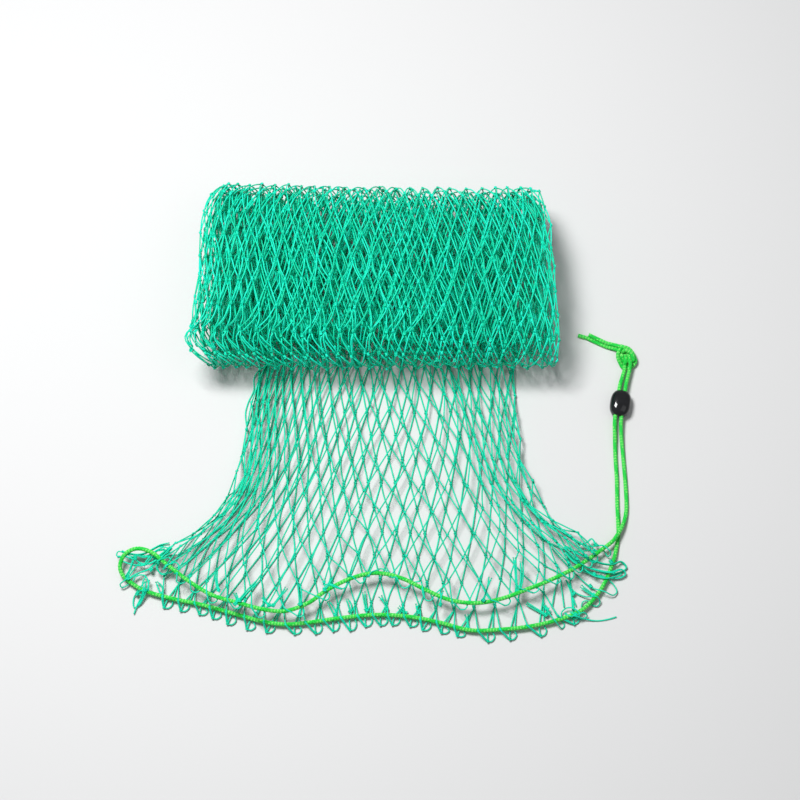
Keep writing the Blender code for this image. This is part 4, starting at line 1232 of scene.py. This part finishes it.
# %% Two twines side by side at each place, spreading a little, and six hairs at each tip
ends = np.array(CUT_ENDS, float) * MM
base, point = ends[:, :3], ends[:, 3:]
sideways = unit(np.cross(point - base, [0.0, 0.0, 1.0]))
share = np.linspace(0, 1, 7)[:, None]
twines = []
for way in (-1, 1):
    line = base[:, None] + (point - base)[:, None] * share
    spread = way * (0.50 + 0.35 * share) * MM
    bend = rng.normal(0, 0.7, (len(ends), 1, 1)) * MM * share * (1 - share) * 4
    twines.append(line + sideways[:, None] * (spread + bend))
twines = np.concatenate(twines)
tips, lead = twines[:, -1], unit(twines[:, -1] - twines[:, -2])
hairs = []
for _ in range(6):
    fan = unit(lead + rng.normal(0, 0.25, lead.shape))
    hairs.append(tips[:, None] + fan[:, None] * np.linspace(-0.5, 1.6, 4)[:, None] * MM)
hairs = np.concatenate(hairs)
loop_forms += [sweep(on_floor(twines, TWINE), TWINE * 1.1, 6),
               sweep(on_floor(hairs, TWINE), 0.2 * MM, 4), wound_knots(base)]
for form in loop_forms:
    form["tone"] = form["tone"] * SKIRT_TONE
mouth_piece = build("net_mouth_loops", loop_forms, net_twine)

# %% [markdown]
# ## The bead
#
# A glossy black plastic bead slides on both strands and holds them together. It is a
# rounded box: a superellipsoid, drawn in a little round each hole where the cord enters.

# %% Bead surface
BEAD_CENTRE = np.array([196.1, 7.8, 5.82]) * MM
BEAD_HALF = np.array([8.0, 10.9, 6.0]) * MM
BEAD_TURN = math.radians(-10.2)
BEAD_SQUARENESS = 2.6
HOLE_SPACING = 2.4 * MM
DIMPLE_REACH, DIMPLE_DEPTH = 2.6 * MM, 2.4 * MM


def bead_surface(rings=48, sides=64):
    """x, y, z = half sizes times signed powers of cosines and sines. Near each strand the
    ends are pushed in by depth (1 - (distance / reach)^2)^1.5."""
    power = 2 / BEAD_SQUARENESS
    lat = np.linspace(-np.pi / 2, np.pi / 2, rings + 1)[1:-1]
    lon = 2 * np.pi * np.arange(sides) / sides
    lat, lon = np.meshgrid(lat, lon, indexing="ij")

    def signed(value):
        """The power of a value's size, with its sign kept."""
        return np.sign(value) * np.abs(value) ** power

    x = BEAD_HALF[0] * signed(np.cos(lat)) * signed(np.cos(lon))
    y = BEAD_HALF[1] * signed(np.sin(lat))
    z = BEAD_HALF[2] * signed(np.cos(lat)) * signed(np.sin(lon))
    poles = np.array([[0, -BEAD_HALF[1], 0], [0, BEAD_HALF[1], 0]])
    spots = np.concatenate([np.stack([x, y, z], -1).reshape(-1, 3), poles])
    for offset in (-HOLE_SPACING, HOLE_SPACING):
        near = np.hypot(spots[:, 0] - offset, spots[:, 2]) / DIMPLE_REACH
        press = DIMPLE_DEPTH * np.clip(1 - near ** 2, 0, 1) ** 1.5
        spots[:, 1] -= np.sign(spots[:, 1]) * press
    spots[:, 2] = np.maximum(spots[:, 2], -0.97 * BEAD_HALF[2])
    cos, sin = math.cos(BEAD_TURN), math.sin(BEAD_TURN)
    turned = spots @ np.array([[cos, sin, 0], [-sin, cos, 0], [0, 0, 1]])
    i, k = np.meshgrid(np.arange(rings - 2), np.arange(sides), indexing="ij")
    after = (k + 1) % sides
    quads = np.stack([i * sides + k, i * sides + after, (i + 1) * sides + after,
                      (i + 1) * sides + k], -1).reshape(-1, 4)[:, ::-1]
    k = np.arange(sides)
    after, last, pole = (k + 1) % sides, (rings - 2) * sides, len(spots) - 2
    near_cap = np.stack([np.full(sides, pole), k, after], -1)
    far_cap = np.stack([np.full(sides, pole + 1), last + after, last + k], -1)
    caps = np.concatenate([near_cap, far_cap])
    return {
        "points": turned + BEAD_CENTRE, "tone": np.full(len(spots), 0.5),
        "faces": [(quads, np.zeros((len(quads), 4, 2))), (caps, np.zeros((len(caps), 3, 2)))],
    }


# %% Glossy black plastic, a little uneven
stopper_black, tree, shader = new_finish("stopper_plastic")
place = node(tree, "ShaderNodeTexCoord").outputs["Object"]
wear = node(tree, "ShaderNodeGroup", (("node_tree", speckle),), Place=place, Scale=180.0)
tint = node(tree, "ShaderNodeValToRGB", Fac=wear.outputs["Patches"])
tint.color_ramp.elements[0].color = (0.004, 0.004, 0.005, 1)
tint.color_ramp.elements[1].color = (0.014, 0.014, 0.016, 1)
tree.links.new(tint.outputs["Color"], shader.inputs["Base Color"])
gloss = calc(tree, "ADD", ("MULTIPLY", wear.outputs["Fibre"], 0.12), 0.06)
tree.links.new(gloss, shader.inputs["Roughness"])
dents = node(tree, "ShaderNodeBump", Height=wear.outputs["Patches"], Strength=0.15,
             Distance=0.3 * MM)
tree.links.new(dents.outputs["Normal"], shader.inputs["Normal"])
stopper = build("cord_stopper_bead", [bead_surface()], stopper_black)
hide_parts("cord_stopper")

# %% [markdown]
# ## The two free strands' paths
#
# The paths of the two free strands are taken from the mouth to the knot, at every sixth point
# and the last.

# %% The two free strands, from the mouth to the knot
for name in ("drawstring_strand_upper", "drawstring_strand_lower"):
    piece, line = cord_pieces[name]
    path = line[::-1] if name.endswith("upper") else line
    followed = [tuple(map(float, spot)) for spot in path[:-1:6]]
    followed.append(tuple(map(float, path[-1])))


# %% [markdown]
# ## Floor and light
#
# A pale matt floor and soft light from above and behind, as in a product studio. The big
# lamp stands behind the roll, so its near side falls off into shade.

# %% Floor
FLOOR_REACH = 20.0                # m: no edge of it shows, from however low it is seen
corner_signs = ((-1, -1), (1, -1), (1, 1), (-1, 1))
floor_corners = [(x * FLOOR_REACH, y * FLOOR_REACH, 0) for x, y in corner_signs]
floor_mesh = bpy.data.meshes.new("floor")
floor_mesh.from_pydata(floor_corners, [], [(0, 1, 2, 3)])
floor_paint, _, shader = new_finish("floor_paint")
shader.inputs["Base Color"].default_value = (0.60, 0.60, 0.60, 1)
shader.inputs["Roughness"].default_value = 0.8
floor_mesh.materials.append(floor_paint)
placed("floor", floor_mesh)


# %% Lamps
def lamp(name, place, aim, size, power):
    """A square soft box at a place, turned to face a point."""
    light = bpy.data.lights.new(name, "AREA")
    light.size, light.energy = size, power
    made = placed(name, light)
    made.location = place
    made.rotation_mode = "QUATERNION"
    made.rotation_quaternion = (Vector(aim) - Vector(place)).to_track_quat("-Z", "Y")
    print(f"{name} lamp: {power} W from a box {size} m wide")


lamp("key", (-0.40, 0.30, 1.40), (0, 0, 0), 0.45, 29)
lamp("fill", (0.8, -0.3, 1.4), (0, 0, 0), 1.0, 2)
world = bpy.data.worlds.new("studio")
bpy.context.scene.world = world
world.use_nodes = True
world.node_tree.nodes["Background"].inputs["Color"].default_value = (0.95, 0.97, 1.0, 1)
world.node_tree.nodes["Background"].inputs["Strength"].default_value = 0.24
